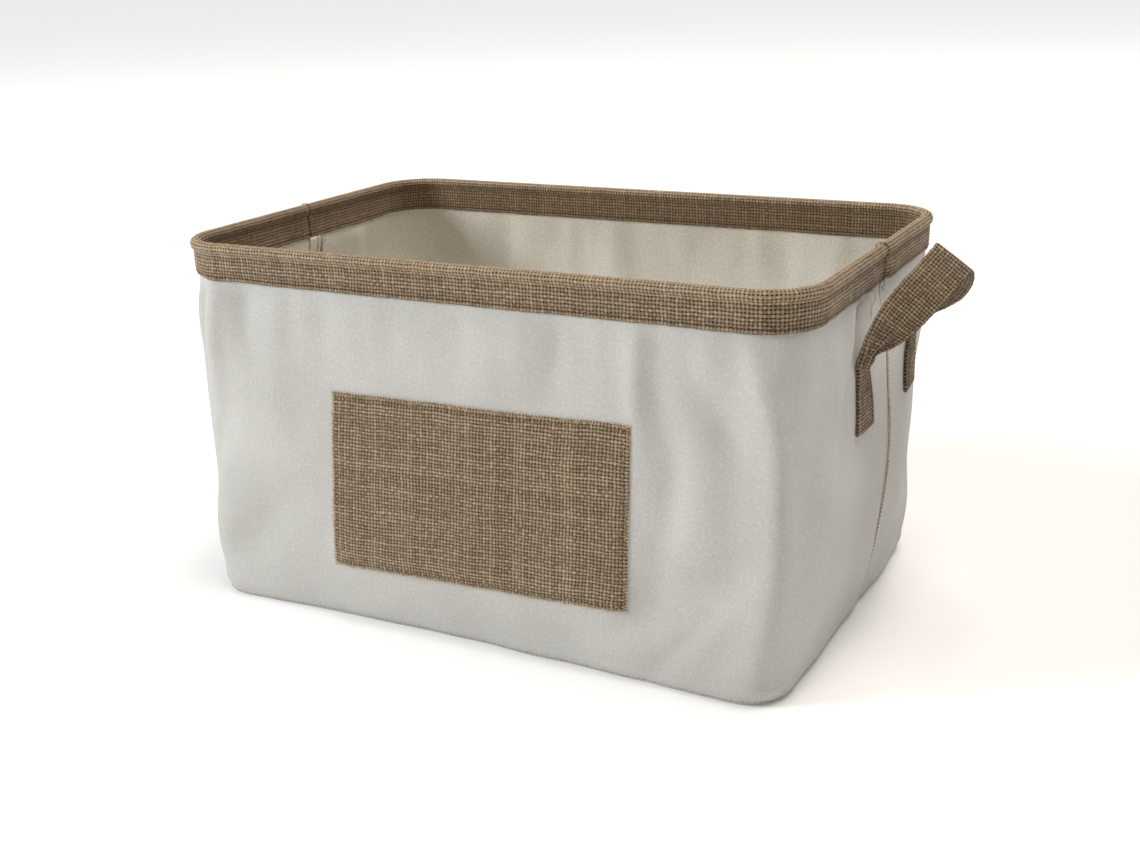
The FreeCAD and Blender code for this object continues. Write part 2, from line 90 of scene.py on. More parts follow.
class ClothSizes(PropertyGroup):
    """Canvas body: its thickness, its soft shape and its colours."""
    thickness: length("Canvas thickness", "Thickness of the canvas", 1.2 * MM)
    grid: length("Mesh spacing", "Distance between mesh points on the canvas", 2.3 * MM)
    belly_height: length("Belly height", "Height of the widest place near the floor", 35 * MM)
    belly_half_width: length("Belly half width", "Half width at the belly", 198.5 * MM)
    shoulder_height: length("Shoulder height", "Height where the walls turn in to the rim", 172 * MM)
    shoulder_half_depth: length("Shoulder half depth", "Half depth at the shoulder", 131 * MM)
    corner: length("Corner radius", "Radius of the upright corners", 33 * MM)
    base_corner: length("Base corner radius", "Radius of the corners on the floor", 30 * MM)
    base_slip: length("Base slip", "How far the base has slipped to the front under the rim", 9 * MM)
    front_hollow: length("Front hollow", "How far the foot of the front wall bows inwards", 6.5 * MM)
    side_belly: length("Side belly", "How far the end walls swell outwards", 6 * MM)
    crumple: length("Crumple", "Depth of the soft uneven waves all over the canvas", 1.8 * MM)
    gather: length("Gather", "Depth of the small upright waves just under the band", 0.9 * MM)
    fold_strength: FloatProperty(name="Fold strength", description="Depth of the folds, as a multiple",
                                 default=1.8, min=0)
    outside: colour("Canvas colour", "Off-white of the canvas", (0.60, 0.597, 0.572))
    # The inside colour is the canvas painted brighter and warmer on its inner face: painted bounce light
    # inside the bin.
    inside: colour("Inside colour", "Warmer cream of the inner face", (0.86, 0.825, 0.735))


class BurlapSizes(PropertyGroup):
    """Burlap of the band, the patch and the straps."""
    thickness: length("Burlap thickness", "Thickness of the band and the patch", 1.2 * MM)
    pitch: length("Thread pitch", "Distance between threads in the band and the patch", 2.05 * MM)
    strap_pitch: length("Strap thread pitch", "Distance between threads in the straps", 2.05 * MM)
    relief: length("Thread relief", "Height of a thread crossing over a gap", 0.5 * MM)
    channel: length("Channel radius", "Radius of the rolled channel round the rim wire", 3.5 * MM)
    # The light thread is the jute's pale tone and also the colour of the painted highlights on the
    # crossing tops.
    light: colour("Light thread", "Lightest jute thread", (0.54, 0.415, 0.268))
    dark: colour("Dark thread", "Darkest jute thread", (0.13, 0.084, 0.047))
    gap: colour("Gap", "Shadow between the threads", (0.022, 0.014, 0.008))


class SewingSizes(PropertyGroup):
    """Threads and stitches."""
    stitch_pitch: length("Stitch pitch", "Distance from stitch to stitch", 3.2 * MM)
    stitch_length: length("Stitch length", "Length of one stitch", 2.6 * MM)
    thread_radius: length("Thread radius", "Radius of the sewing thread", 0.28 * MM)
    overlock_pitch: length("Overlock pitch", "Distance between the loops on a raw edge", 1.7 * MM)
    jute: colour("Jute thread", "Dark brown thread in the burlap", (0.085, 0.052, 0.028))
    tan: colour("Tan thread", "Tan thread in the canvas", (0.36, 0.25, 0.13))
    seed: IntProperty(name="Seed", description="Seed of the uneven stitches", default=7, min=0)


class StageSizes(PropertyGroup):
    """Camera, lights and floor."""
    azimuth: FloatProperty(name="Azimuth", description="Turn of the camera round the bin", unit="ROTATION",
                           subtype="ANGLE", default=math.radians(27.96))
    elevation: FloatProperty(name="Elevation", description="Height of the camera as an angle",
                             unit="ROTATION", subtype="ANGLE", default=math.radians(18.49))
    roll: FloatProperty(name="Roll", description="Tilt of the camera", unit="ROTATION", subtype="ANGLE",
                        default=math.radians(-1.64))
    distance: length("Distance", "Distance from the camera to the point it looks at", 0.6692)
    aim: FloatVectorProperty(name="Aim", description="Point that the camera looks at",
                             subtype="TRANSLATION", unit="LENGTH", default=(0.11177, -0.21046, 0.16811))
    lens: FloatProperty(name="Lens", description="Focal length in millimetres", default=45.62, min=10)
    key_power: FloatProperty(name="Key light", description="Power of the main light", default=64.0,
                             unit="POWER")
    fill_power: FloatProperty(name="Fill light", description="Power of the fill light", default=105.0,
                              unit="POWER")
    sky: FloatProperty(name="Sky", description="Brightness of the white surround", default=0.20, min=0)


# --- shader maths and nodes ---

class Value:
    """A socket in a material's node tree, with the usual operators."""

    def __init__(self, shader, socket):
        self.shader = shader
        self.socket = socket

    def __add__(self, other):
        return self.shader.math("ADD", self, other)

    __radd__ = __add__

    def __sub__(self, other):
        return self.shader.math("SUBTRACT", self, other)

    def __rsub__(self, other):
        return self.shader.math("SUBTRACT", other, self)

    def __mul__(self, other):
        return self.shader.math("MULTIPLY", self, other)

    __rmul__ = __mul__

    def __truediv__(self, other):
        return self.shader.math("DIVIDE", self, other)

    def __abs__(self):
        return self.shader.math("ABSOLUTE", self)


class Shader:
    """Builds one material."""

    def __init__(self, name):
        self.material = bpy.data.materials.new(name)
        self.material.use_nodes = True
        self.tree = self.material.node_tree
        self.tree.nodes.clear()
        self.output = self.tree.nodes.new("ShaderNodeOutputMaterial")

    def node(self, kind, options=None, inputs=None, result=0):
        """Adds a node: its options are put first, then the values or links of its sockets."""
        made = self.tree.nodes.new(kind)
        for name, value in (options or {}).items():
            setattr(made, name, value)
        for name, value in (inputs or {}).items():
            if isinstance(value, Value):
                self.tree.links.new(value.socket, made.inputs[name])
            else:
                made.inputs[name].default_value = value
        return Value(self, made.outputs[result])

    def math(self, operation, *values):
        return self.node("ShaderNodeMath", {"operation": operation}, dict(enumerate(values)))

    def sine(self, value):
        return self.math("SINE", value)

    def floor(self, value):
        return self.math("FLOOR", value)

    def larger(self, first, second):
        return self.math("MAXIMUM", first, second)

    def smooth(self, value, low, high):
        """0 below low, 1 above high and a soft change between; low may be above high."""
        return self.node("ShaderNodeMapRange", {"interpolation_type": "SMOOTHSTEP"},
                         {"Value": value, "From Min": low, "From Max": high})

    def noise(self, place, scale, detail=2.0, stretch=(1, 1, 1), result="Fac"):
        moved = self.node("ShaderNodeMapping", {}, {"Vector": place, "Scale": stretch})
        return self.node("ShaderNodeTexNoise", {}, {"Vector": moved, "Scale": scale, "Detail": detail},
                         result)

    def dice(self, value, salt):
        """A random number from 0 to 1 for each whole number."""
        return self.node("ShaderNodeTexWhiteNoise", {"noise_dimensions": "1D"}, {"W": value + salt})

    def mix(self, share, first, second):
        made = self.tree.nodes.new("ShaderNodeMix")
        made.data_type = "RGBA"
        for socket, value in ((made.inputs[0], share), (made.inputs[6], first), (made.inputs[7], second)):
            if isinstance(value, Value):
                self.tree.links.new(value.socket, socket)
            elif socket.type == "RGBA":
                socket.default_value = (*value, 1)
            else:
                socket.default_value = value
        return Value(self, made.outputs[2])

    def cloth_place(self):
        """The position along and across the cloth from its own UV map."""
        place = self.node("ShaderNodeUVMap", {"uv_map": "Cloth"})
        parts = self.tree.nodes.new("ShaderNodeSeparateXYZ")
        self.tree.links.new(place.socket, parts.inputs[0])
        return place, Value(self, parts.outputs[0]), Value(self, parts.outputs[1])

    def own_place(self):
        return self.node("ShaderNodeTexCoord", {}, {}, "Object")

    def bump(self, height, distance, strength=1.0):
        return self.node("ShaderNodeBump", {}, {"Height": height, "Distance": distance,
                                                "Strength": strength})

    def finish(self, inputs):
        surface = self.node("ShaderNodeBsdfPrincipled", {}, inputs)
        self.tree.links.new(surface.socket, self.output.inputs["Surface"])
        return self.material


CANVAS_PITCH = 0.95 * MM
TWILL_PITCH = 1.5 * MM


def canvas_material(cloth):
    """Plain cotton duck: fine weave, slubs, small seed specks and faint clouding."""
    shader = Shader("Canvas")
    place, along, up = shader.cloth_place()
    turn = 2 * math.pi / CANVAS_PITCH
    wander = shader.noise(place, 180, 2) * 3.0
    warp = shader.sine(along * turn + wander)
    weft = shader.sine(up * turn + wander)
    weave = warp * weft
    slub_across = shader.smooth(shader.noise(place, 900, 2, (0.08, 1, 1)), 0.56, 0.74)
    slub_up = shader.smooth(shader.noise(place, 900, 2, (1, 0.08, 1)), 0.58, 0.76)
    slubs = shader.larger(slub_across, slub_up)
    twill = shader.sine((along + up) * (2 * math.pi / TWILL_PITCH) + wander)
    grain = shader.noise(place, 620, 4) + twill * 0.035
    clouded = shader.smooth(shader.noise(place, 16, 4), 0.35, 0.68)
    seeds = shader.smooth(shader.noise(place, 330, 1), 0.79, 0.82)
    # Inner faces take the inside colour: painted bounce light, brighter and warmer than the outer face.
    inner = shader.node("ShaderNodeAttribute", {"attribute_name": "inside"}, {}, "Fac")
    face = shader.mix(clouded, [0.90 * c for c in cloth.outside], cloth.outside)
    cream = shader.mix(clouded, [0.92 * c for c in cloth.inside], cloth.inside)
    base = shader.mix(inner, face, cream)
    light_thread = (0.86, 0.83, 0.77)
    base = shader.mix(slubs * 0.09, base, light_thread)
    # Grain: partly real tone, partly painted light, the low grain painted darker and the raised grain
    # painted lighter.
    base = shader.mix(shader.smooth(grain, 0.60, 0.38) * 0.30, base, (0.47, 0.455, 0.42))
    base = shader.mix(shader.smooth(grain, 0.56, 0.74) * 0.35, base, light_thread)
    # Painted shade: darker where the weave is low, in the hollows between threads.
    base = shader.mix((1 - weave) * 0.07, base, (0.40, 0.37, 0.33))
    base = shader.mix(seeds * 0.45, base, (0.30, 0.19, 0.09))
    height = weave * 0.25 + grain * 1.5 + slubs * 0.25
    return shader.finish({
        "Base Color": base,
        "Roughness": 0.86 + grain * 0.1,
        "Specular IOR Level": 0.25,
        "Sheen Weight": 0.25,
        "Sheen Roughness": 0.5,
        "Normal": shader.bump(height, 0.3 * MM, 1.0),
    })


def burlap_material(name, burlap, lightness=1.0, thread_half=0.285, roll_row=-99.0):
    """Plain-weave jute. The cloth's UV map counts threads, one to a whole number.

    Rows near roll_row get a painted highlight; those beyond it, on the inner side, get painted warm shade.
    """
    shader = Shader(name)
    place, along, across = shader.cloth_place()
    wander_a = (shader.noise(place, 0.31, 2) - 0.5) * 0.7
    wander_b = (shader.noise(place, 0.27, 2, (0.7, 1.3, 1)) - 0.5) * 0.7
    u = along + wander_a
    v = across + wander_b

    def threads(here, other, salt, tone_salt, phase, stretch, shade):
        """The threads of one direction: their numbers, how high they stand, their tone and fibres."""
        number = shader.floor(here)
        from_middle = abs(here - number - 0.5)
        half = thread_half + shader.dice(number, salt) * 0.07
        wave = shader.math("COSINE", (number + other) * math.pi + phase) * 0.5 + 0.5
        top = shader.smooth(from_middle / half, 1.08, 0.62) * (0.35 + wave * 0.65)
        fibre = shader.noise(place, 7.0, 3, stretch)
        # wave lightens a thread where it crosses over: a painted highlight on the crossing tops.
        tone = shader.dice(number, tone_salt) * 0.14 + fibre * 0.62 + wave * 0.34 - shade
        return number, top, tone, fibre

    # The last number is painted shade: the upright threads are painted darker than the level ones, as the
    # light falls.
    column, top_upright, tone_upright, fibre_upright = threads(
        u, v, 0.37, 0.37, -math.pi / 2, (1, 0.16, 1), 0.16)
    row, top_level, tone_level, fibre_level = threads(v, u, 5.71, 11.3, math.pi / 2, (0.16, 1, 1), 0.12)
    height = shader.larger(top_upright, top_level)
    upright_wins = shader.smooth(top_upright - top_level, -0.08, 0.08)
    tone = upright_wins * tone_upright + (1 - upright_wins) * tone_level
    crossing = shader.dice(column + row * 91.7, 3.1)
    tone = tone + (crossing - 0.5) * 0.15
    filled = shader.dice(column * 1.7 + row * 53.3, 8.9) * 0.16
    light = [min(1.0, c * lightness) for c in burlap.light]
    dark = [c * lightness for c in burlap.dark]
    yarn = shader.mix(shader.smooth(tone, 0.20, 0.90), dark, light)
    patchy = shader.noise(place, 0.06, 3)
    yarn = shader.mix(shader.smooth(patchy, 0.35, 0.7) * 0.16, yarn, dark)
    straw = shader.smooth(shader.noise(place, 2.3, 2), 0.70, 0.78)
    yarn = shader.mix(straw * 0.35, yarn, (0.62, 0.50, 0.30))
    # Painted highlight: the rows round the roll over the wire are painted paler.
    rolled = shader.smooth(abs(across - roll_row), 4.2, 2.2)
    yarn = shader.mix(rolled * 0.17, yarn, [min(1.0, 1.25 * c) for c in burlap.light])
    # Painted warm shade on the rows beyond the roll, on the band's inner side.
    painted_inner_shade = shader.smooth(across - roll_row, 3.0, 6.0) * (0.4 if roll_row > 0 else 0)
    yarn = shader.mix(painted_inner_shade, yarn, (0.215, 0.125, 0.058))
    # Painted shadow in the gaps between threads, where the weave stands low.
    base = shader.mix(shader.smooth(height + filled, 0.46, 0.15), yarn, burlap.gap)
    bump = height + fibre_upright * 0.12 + fibre_level * 0.12
    return shader.finish({
        "Base Color": base,
        "Roughness": 0.94 - straw * 0.12,
        "Specular IOR Level": 0.18,
        "Sheen Weight": 0.15,
        "Sheen Roughness": 0.6,
        "Normal": shader.bump(bump, 0.45 * MM, 0.85),
    })


def thread_material(name, base_colour):
    """Twisted sewing thread, its tone uneven from stitch to stitch."""
    shader = Shader(name)
    place = shader.own_place()
    twist = shader.noise(place, 2600, 2, (1, 1, 1.6))
    tone = shader.noise(place, 260, 2)
    lighter = [min(1.0, 1.5 * c) for c in base_colour]
    darker = [0.6 * c for c in base_colour]
    base = shader.mix(shader.smooth(tone * 0.6 + twist * 0.4, 0.35, 0.65), darker, lighter)
    return shader.finish({
        "Base Color": base,
        "Roughness": 0.72 + twist * 0.2,
        "Specular IOR Level": 0.3,
        "Normal": shader.bump(twist, 0.12 * MM, 0.8),
    })


def wire_material():
    """Drawn steel wire with fine lengthwise scratches and a little dulling."""
    shader = Shader("Rim wire steel")
    place = shader.own_place()
    scratches = shader.noise(place, 1400, 3, (0.05, 0.05, 1))
    dull = shader.noise(place, 90, 3)
    base = shader.mix(shader.smooth(dull, 0.4, 0.7), (0.50, 0.50, 0.51), (0.33, 0.32, 0.31))
    return shader.finish({
        "Base Color": base,
        "Metallic": 1.0,
        "Roughness": 0.28 + dull * 0.25 + scratches * 0.08,
        "Normal": shader.bump(scratches, 0.05 * MM, 0.5),
    })


def floor_material():
    """Matt pale studio floor."""
    shader = Shader("Studio floor")
    place = shader.own_place()
    grain = shader.noise(place, 3, 2)
    away = shader.node("ShaderNodeVectorMath", {"operation": "LENGTH"}, {0: place}, "Value")
    far_glow = shader.smooth(away, 0.75, 3.0)
    return shader.finish({
        "Base Color": shader.mix(grain, (0.90, 0.90, 0.90), (0.93, 0.93, 0.93)),
        "Roughness": 0.9,
        "Specular IOR Level": 0.1,
        "Emission Color": shader.mix(far_glow, (0.10, 0.10, 0.10), (0.66, 0.66, 0.66)),
        "Emission Strength": 1.0,
    })


MATERIALS = {}
# Where the roll round the wire lies, as a share of the folded strip from its outer hem.
ROLL_SHARE = 0.46


def make_materials(bin_settings):
    """Makes each finish once and keeps it by name."""
    cloth, burlap, sewing = bin_settings.cloth, bin_settings.burlap, bin_settings.sewing
    _, band_rows = band_profile(Wall(cloth), burlap)
    MATERIALS.update(
        canvas=canvas_material(cloth),
        band=burlap_material("Band burlap", burlap, roll_row=band_rows * ROLL_SHARE),
        patch=burlap_material("Patch burlap", burlap, lightness=1.06),
        strap=burlap_material("Strap burlap", burlap, lightness=0.86, thread_half=0.27),
        jute=thread_material("Jute thread", sewing.jute),
        yarn=thread_material("Loose jute yarn", burlap.light),
        tan=thread_material("Tan thread", sewing.tan),
        wire=wire_material())


# --- the soft shape of the wall ---

def ease(value, low, high):
    """0 below low, 1 above high, smooth between."""
    share = np.clip((np.asarray(value, float) - low) / (high - low), 0, 1)
    return share * share * (3 - 2 * share)


def bell(value, width):
    return np.exp(-(np.asarray(value, float) / width) ** 2)


# A fold in the cloth, on the front or back wall: a soft ridge, or a crease where its depth is negative.
# Its place along and up the wall, its length and its width are in metres, its turn is in degrees and
# its depth in millimetres.
Fold = namedtuple("Fold", "end along height length width turn depth")
FOLDS = (
    # upright waves under the band at the left of the front
    Fold(FRONT, -0.186, 0.172, 0.040, 0.0070, 8, -2.6),
    Fold(FRONT, -0.169, 0.176, 0.034, 0.0080, 4, 2.0),
    Fold(FRONT, -0.146, 0.180, 0.026, 0.0075, -6, -1.2),
    Fold(FRONT, -0.122, 0.178, 0.034, 0.0100, 3, 1.0),
    Fold(FRONT, -0.088, 0.180, 0.030, 0.0120, -4, -0.9),
    # creases over and beside the patch
    Fold(FRONT, 0.108, 0.168, 0.034, 0.0060, -3, 1.5),
    Fold(FRONT, 0.122, 0.160, 0.046, 0.0090, -9, -1.3),
    Fold(FRONT, 0.060, 0.172, 0.024, 0.0090, 14, -0.9),
    Fold(FRONT, 0.020, 0.168, 0.026, 0.0110, -12, 0.8),
    # soft dents low down on both sides of the patch
    Fold(FRONT, 0.150, 0.060, 0.040, 0.0180, 60, -2.0),
    Fold(FRONT, 0.118, 0.026, 0.050, 0.0110, 74, 1.4),
    Fold(FRONT, -0.140, 0.050, 0.046, 0.0140, 50, -1.6),
    Fold(FRONT, -0.178, 0.095, 0.028, 0.0100, 35, -2.0),
    Fold(FRONT, -0.020, 0.022, 0.080, 0.0100, 84, 0.9),
    # the near corner: one soft upright ridge with a hollow on each side
    Fold(FRONT, 0.187, 0.118, 0.050, 0.0080, -3, 2.6),
    Fold(FRONT, 0.183, 0.048, 0.040, 0.0100, 6, 2.0),
    Fold(FRONT, 0.210, 0.115, 0.070, 0.0120, 3, -2.4),
    Fold(FRONT, 0.163, 0.120, 0.060, 0.0140, -4, -2.0),
    Fold(FRONT, 0.176, 0.172, 0.020, 0.0065, -18, 1.7),
    Fold(FRONT, 0.150, 0.158, 0.034, 0.0110, -38, -1.6),
    Fold(FRONT, 0.157, 0.044, 0.030, 0.0080, 42, 1.6),
    Fold(FRONT, 0.141, 0.030, 0.032, 0.0070, 44, -1.5),
    Fold(FRONT, 0.127, 0.098, 0.048, 0.0090, 8, -1.3),
    # end walls: a ripple that starts under the band and runs down beside the strap
    Fold(FRONT, 0.268, 0.184, 0.026, 0.0050, 36, -2.0),
    Fold(FRONT, 0.257, 0.178, 0.030, 0.0055, 34, 1.5),
    Fold(FRONT, 0.245, 0.140, 0.036, 0.0200, 0, -2.1),
    Fold(FRONT, 0.236, 0.150, 0.026, 0.0060, 4, 0.9),
    Fold(FRONT, -0.262, 0.150, 0.050, 0.0100, -8, -2.0),
    Fold(BACK, -0.258, 0.160, 0.050, 0.0090, 6, -1.9),
    Fold(BACK, -0.214, 0.090, 0.070, 0.0120, -4, 1.5),
    # two opposite corners that sag inwards, as the bin stands a little twisted
    Fold(FRONT, -0.200, 0.078, 0.090, 0.0360, 0, -4.1),
    Fold(BACK, 0.200, 0.096, 0.072, 0.0400, 0, -5.9),
    # the foot of the front, a little forward at its right
    Fold(FRONT, 0.125, 0.0, 0.035, 0.0700, 0, 1.1),
    # back wall
    Fold(BACK, 0.130, 0.160, 0.045, 0.0110, 8, -1.6),
    Fold(BACK, 0.096, 0.170, 0.034, 0.0100, -5, 1.2),
    Fold(BACK, -0.030, 0.165, 0.040, 0.0140, -9, -1.4),
    Fold(BACK, -0.120, 0.160, 0.040, 0.0110, 6, 1.3),
    Fold(BACK, 0.040, 0.050, 0.070, 0.0180, 66, -1.8),
    Fold(BACK, -0.130, 0.060, 0.050, 0.0150, 48, -1.6),
)


class Wall:
    """The outside of the canvas as a surface.

    end is front or back, and travel runs from -1 at the left seam to 1 at the right seam.
    """
    FREE_BELOW, HELD_ABOVE = 188 * MM, 207 * MM  # the wire holds the cloth's shape near the rim
    SHOULDER_TUCK = 2.5 * MM  # how far the end walls draw in under the band
    SWELL = 1.6 * MM  # how far the front and back stand out at mid height
    SEAM_DEPTH = 0.55 * MM
    FOOT_TUCK, FOOT_HEIGHT = 2.6 * MM, 7 * MM  # the curve in to the base seam
    FOOT_CREASE = 0.7 * MM

    def __init__(self, cloth):
        wire_low, wire_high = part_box("rim_wire")
        base_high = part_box("base_panel")[1]
        panel_low, panel_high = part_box("front_panel")
        band_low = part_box("front_rim_band")[0]
        self.cloth = cloth
        self.thickness = cloth.thickness
        self.wire_radius = (wire_high.z - wire_low.z) / 2
        self.wire_height = (wire_high.z + wire_low.z) / 2
        self.path_half_width = wire_high.x - self.wire_radius
        self.path_half_depth = wire_high.y - self.wire_radius
        self.band_bottom = band_low.z
        self.top = panel_high.z
        half = self.thickness / 2
        rim_corner = cloth.corner - self.thickness
        self.heights = np.array([0, cloth.belly_height, cloth.shoulder_height, self.band_bottom, 1.0])
        self.half_widths = np.array([base_high.x + self.thickness, cloth.belly_half_width, panel_high.x,
                                     self.path_half_width + half, self.path_half_width + half])
        self.half_depths = np.array([base_high.y + self.thickness, -panel_low.y,
                                     cloth.shoulder_half_depth, self.path_half_depth + half,
                                     self.path_half_depth + half])
        self.corners = np.array([cloth.base_corner, cloth.corner, cloth.corner, rim_corner, rim_corner])

    def _soft(self, height, values):
        """The section sizes at a height, with the changes between sections rounded off."""
        reach = 11 * MM * ease(self.band_bottom - height, 0, 14 * MM)
        steps = (-1.0, -0.5, 0.0, 0.5, 1.0)
        return sum(np.interp(height + reach * step, self.heights, values) for step in steps) / len(steps)

    def outline(self, end, travel, height):
        """Point and outward normal on the smooth outline, and the distance along it from its middle."""
        half_width = self._soft(height, self.half_widths)
        half_depth = self._soft(height, self.half_depths)
        corner = self._soft(height, self.corners)
        straight = half_width - corner
        bend = corner * math.pi / 2
        side = half_depth - corner
        distance = np.abs(travel) * (straight + bend + side)
        angle = np.clip((distance - straight) / corner, 0, math.pi / 2)
        way = np.sign(travel)
        x = way * (np.minimum(distance, straight) + corner * np.sin(angle))
        y = half_depth - corner * (1 - np.cos(angle)) - np.maximum(distance - straight - bend, 0)
        normal = np.stack([way * np.sin(angle), end * np.cos(angle), np.zeros_like(angle)], -1)
        return np.stack([x, end * y, height], -1), normal, way * distance

    def relief(self, end, travel, height, point, normal, along):
        """How far the cloth stands out from the smooth outline."""
        cloth = self.cloth
        free = ease(height, self.HELD_ABOVE, self.FREE_BELOW)
        half_height = self.band_bottom / 2
        middle_x = 1 - np.clip(np.abs(point[..., 0]) / self.path_half_width, 0, 1) ** 2
        middle_y = 1 - np.clip(np.abs(point[..., 1]) / self.path_half_depth, 0, 1) ** 2
        faces_end = normal[..., 1] ** 2
        faces_side = normal[..., 0] ** 2
        upright = bell(height - half_height, 62 * MM)
        lift = -cloth.front_hollow * middle_x * faces_end * (1 - height / self.top) * (end == FRONT)
        lift = lift + cloth.side_belly * middle_y * faces_side * upright
        lift = lift - self.SHOULDER_TUCK * middle_y * faces_side * ease(height, 150 * MM, 200 * MM)
        lift = lift + self.SWELL * middle_x * faces_end * bell(height - 130 * MM, 60 * MM)
        for fold in FOLDS:
            if fold.end != end:
                continue
            turn = math.radians(fold.turn)
            right, up = along - fold.along, height - fold.height
            length_wise = up * math.cos(turn) + right * math.sin(turn)
            cross_wise = right * math.cos(turn) - up * math.sin(turn)
            depth = cloth.fold_strength * fold.depth * MM
            lift = lift + depth * bell(length_wise, fold.length) * bell(cross_wise, fold.width)
        lift = lift + self.crumple(end, along, height)
        seam = (1 - np.abs(travel)) * self.half_lap()
        above_foot = ease(height, 2 * MM, 12 * MM)
        low_down = ease(height, 115 * MM, 40 * MM)
        lift = lift - self.SEAM_DEPTH * bell(seam, 1.3 * MM) * above_foot
        if end == BACK:
            lift = lift - (0.2 + 1.4 * low_down) * MM * bell(seam - 12 * MM, 6 * MM) * above_foot
        under_patch = self.under_patch(end, along, height)
        tuck = self.FOOT_TUCK * np.clip(1 - height / self.FOOT_HEIGHT, 0, 1) ** 2
        crease = self.FOOT_CREASE * bell(height - 9 * MM, 3 * MM)
        pucker = self.seam_pucker(end, travel, height)
        return lift * free * (1 - 0.75 * under_patch) - tuck + crease + pucker

    def seam_pucker(self, end, travel, height):
        """The band and the cloth in it are drawn in beside the two side seams, most at the right."""
        distance = (1 - np.abs(travel)) * self.half_lap()
        depth = np.where(travel > 0, 1.9, 0.8) * MM * (1.0 if end == BACK else 0.35)
        on_band = ease(height, 212 * MM, 203 * MM) * ease(height, 178 * MM, 194 * MM)
        swell = 0.6 * bell(distance - 20 * MM, 9 * MM)
        return on_band * depth * (swell - bell(distance - 7 * MM, 6 * MM) * ease(distance, 0, 4 * MM))

    def half_lap(self):
        """Distance from the middle of the front to a side seam."""
        return self.path_half_width + self.path_half_depth - (2 - math.pi / 2) * self.cloth.corner

    def under_patch(self, end, along, height):
        """1 where the patch holds the front wall flat."""
        if end == BACK:
            return np.zeros_like(height)
        low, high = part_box("front_patch")
        edge = 14 * MM
        over = ease(along, low.x - edge, low.x + edge) * ease(along, high.x + edge, high.x - edge)
        return over * ease(height, low.z - edge, low.z + edge) * ease(height, high.z + edge, high.z - edge)

    def crumple(self, end, along, height):
        """Uneven waves all over, and finer upright ones just under the band."""
        shape = np.broadcast(along, height).shape
        along = np.broadcast_to(along, shape).ravel()
        height = np.broadcast_to(height, shape).ravel()
        lift = np.empty(along.size)
        for i, (a, h) in enumerate(zip(along, height)):
            wide = noise.noise(Vector((a * 15, h * 12, 3.1 * end)))
            medium = noise.noise(Vector((a * 38, h * 26, 9.7 + end)))
            small = noise.noise(Vector((a * 90, h * 14, 17.3 + end)))
            near_band = math.exp(-((self.band_bottom - h) / 0.038) ** 2)
            lift[i] = self.cloth.crumple * (wide + 0.45 * medium) + self.cloth.gather * small * near_band
        return lift.reshape(shape)

    def frame_at(self, end, travel, height):
        """Point, outward normal and distance along, with the soft shape put in."""
        travel, height = np.broadcast_arrays(np.asarray(travel, float), np.asarray(height, float))
        point, normal, along = self.outline(end, travel, height)
        lift = self.relief(end, travel, height, point, normal, along)
        moved = point + normal * lift[..., None]
        slip = np.clip(1 - height / self.band_bottom, 0, 1)
        moved[..., 1] -= self.cloth.base_slip * slip
        return moved, normal, along

    def surface(self, end, travel, height, out=0.0):
        """Points at a distance out from the outer face of the canvas, and their distance along it."""
        point, normal, along = self.frame_at(end, travel, height)
        return point + normal * np.asarray(out, float)[..., None], along

    def travel_at(self, distance):
        """The travel at a distance along the smooth outline from its middle, near the shoulder."""
        return distance / self.half_lap()

    def side_face(self, side, y, height, out):
        """Points on the right or left end wall at that y and height, at a distance out from it."""
        y, height = np.broadcast_arrays(np.asarray(y, float), np.asarray(height, float))
        half_width = self._soft(height, self.half_widths)
        half_depth = self._soft(height, self.half_depths)
        corner = self._soft(height, self.corners)
        lap = half_width + half_depth - (2 - math.pi / 2) * corner
        upright_y = y + self.cloth.base_slip * np.clip(1 - height / self.band_bottom, 0, 1)
        travel = side * (1 - np.abs(upright_y) / lap)
        faces = [self.surface(end, travel, height, out)[0] for end in (FRONT, BACK)]
        return np.where((upright_y < 0)[..., None], faces[0], faces[1])


# --- meshes ---

def new_object(name, mesh, material):
    obj = bpy.data.objects.new(name, mesh)
    bpy.context.scene.collection.objects.link(obj)
    mesh.materials.clear()
    mesh.materials.append(material)
    return obj


def grid_faces(rows, columns, first=0, flip=False):
    """Quads over a grid of points kept row by row."""
    index = first + np.arange(rows * columns).reshape(rows, columns)
    quads = np.stack([index[:-1, :-1], index[:-1, 1:], index[1:, 1:], index[1:, :-1]], -1).reshape(-1, 4)
    return quads[:, ::-1] if flip else quads


def edge_strip(outer, inner, rows, columns):
    """Quads that close the four edges between an outer and an inner grid."""
    index = np.arange(rows * columns).reshape(rows, columns)
    ring = np.concatenate([index[0, :], index[1:, -1], index[-1, -2::-1], index[-2:0:-1, 0]])
    after = np.roll(ring, -1)
    return np.stack([after + outer, ring + outer, ring + inner, after + inner], -1)


def closed_cloth(name, outer, inner, cloth_uv, material, all_inside=False):
    """A closed sheet from an outer and an inner grid of points, with its UV map and inside mark."""
    rows, columns = outer.shape[:2]
    count = rows * columns
    points = np.concatenate([outer.reshape(-1, 3), inner.reshape(-1, 3)])
    faces = np.concatenate([grid_faces(rows, columns), grid_faces(rows, columns, count, flip=True),
                            edge_strip(0, count, rows, columns)])
    both_uv = np.concatenate([cloth_uv.reshape(-1, 2), cloth_uv.reshape(-1, 2)])
    mesh = cloth_mesh(name, points, faces.tolist(), both_uv, np.repeat([float(all_inside), 1.0], count))
    mesh.validate()
    mesh.update()
    if volume_of(points, faces) < 0:
        mesh.flip_normals()
    return new_object(name, mesh, material)


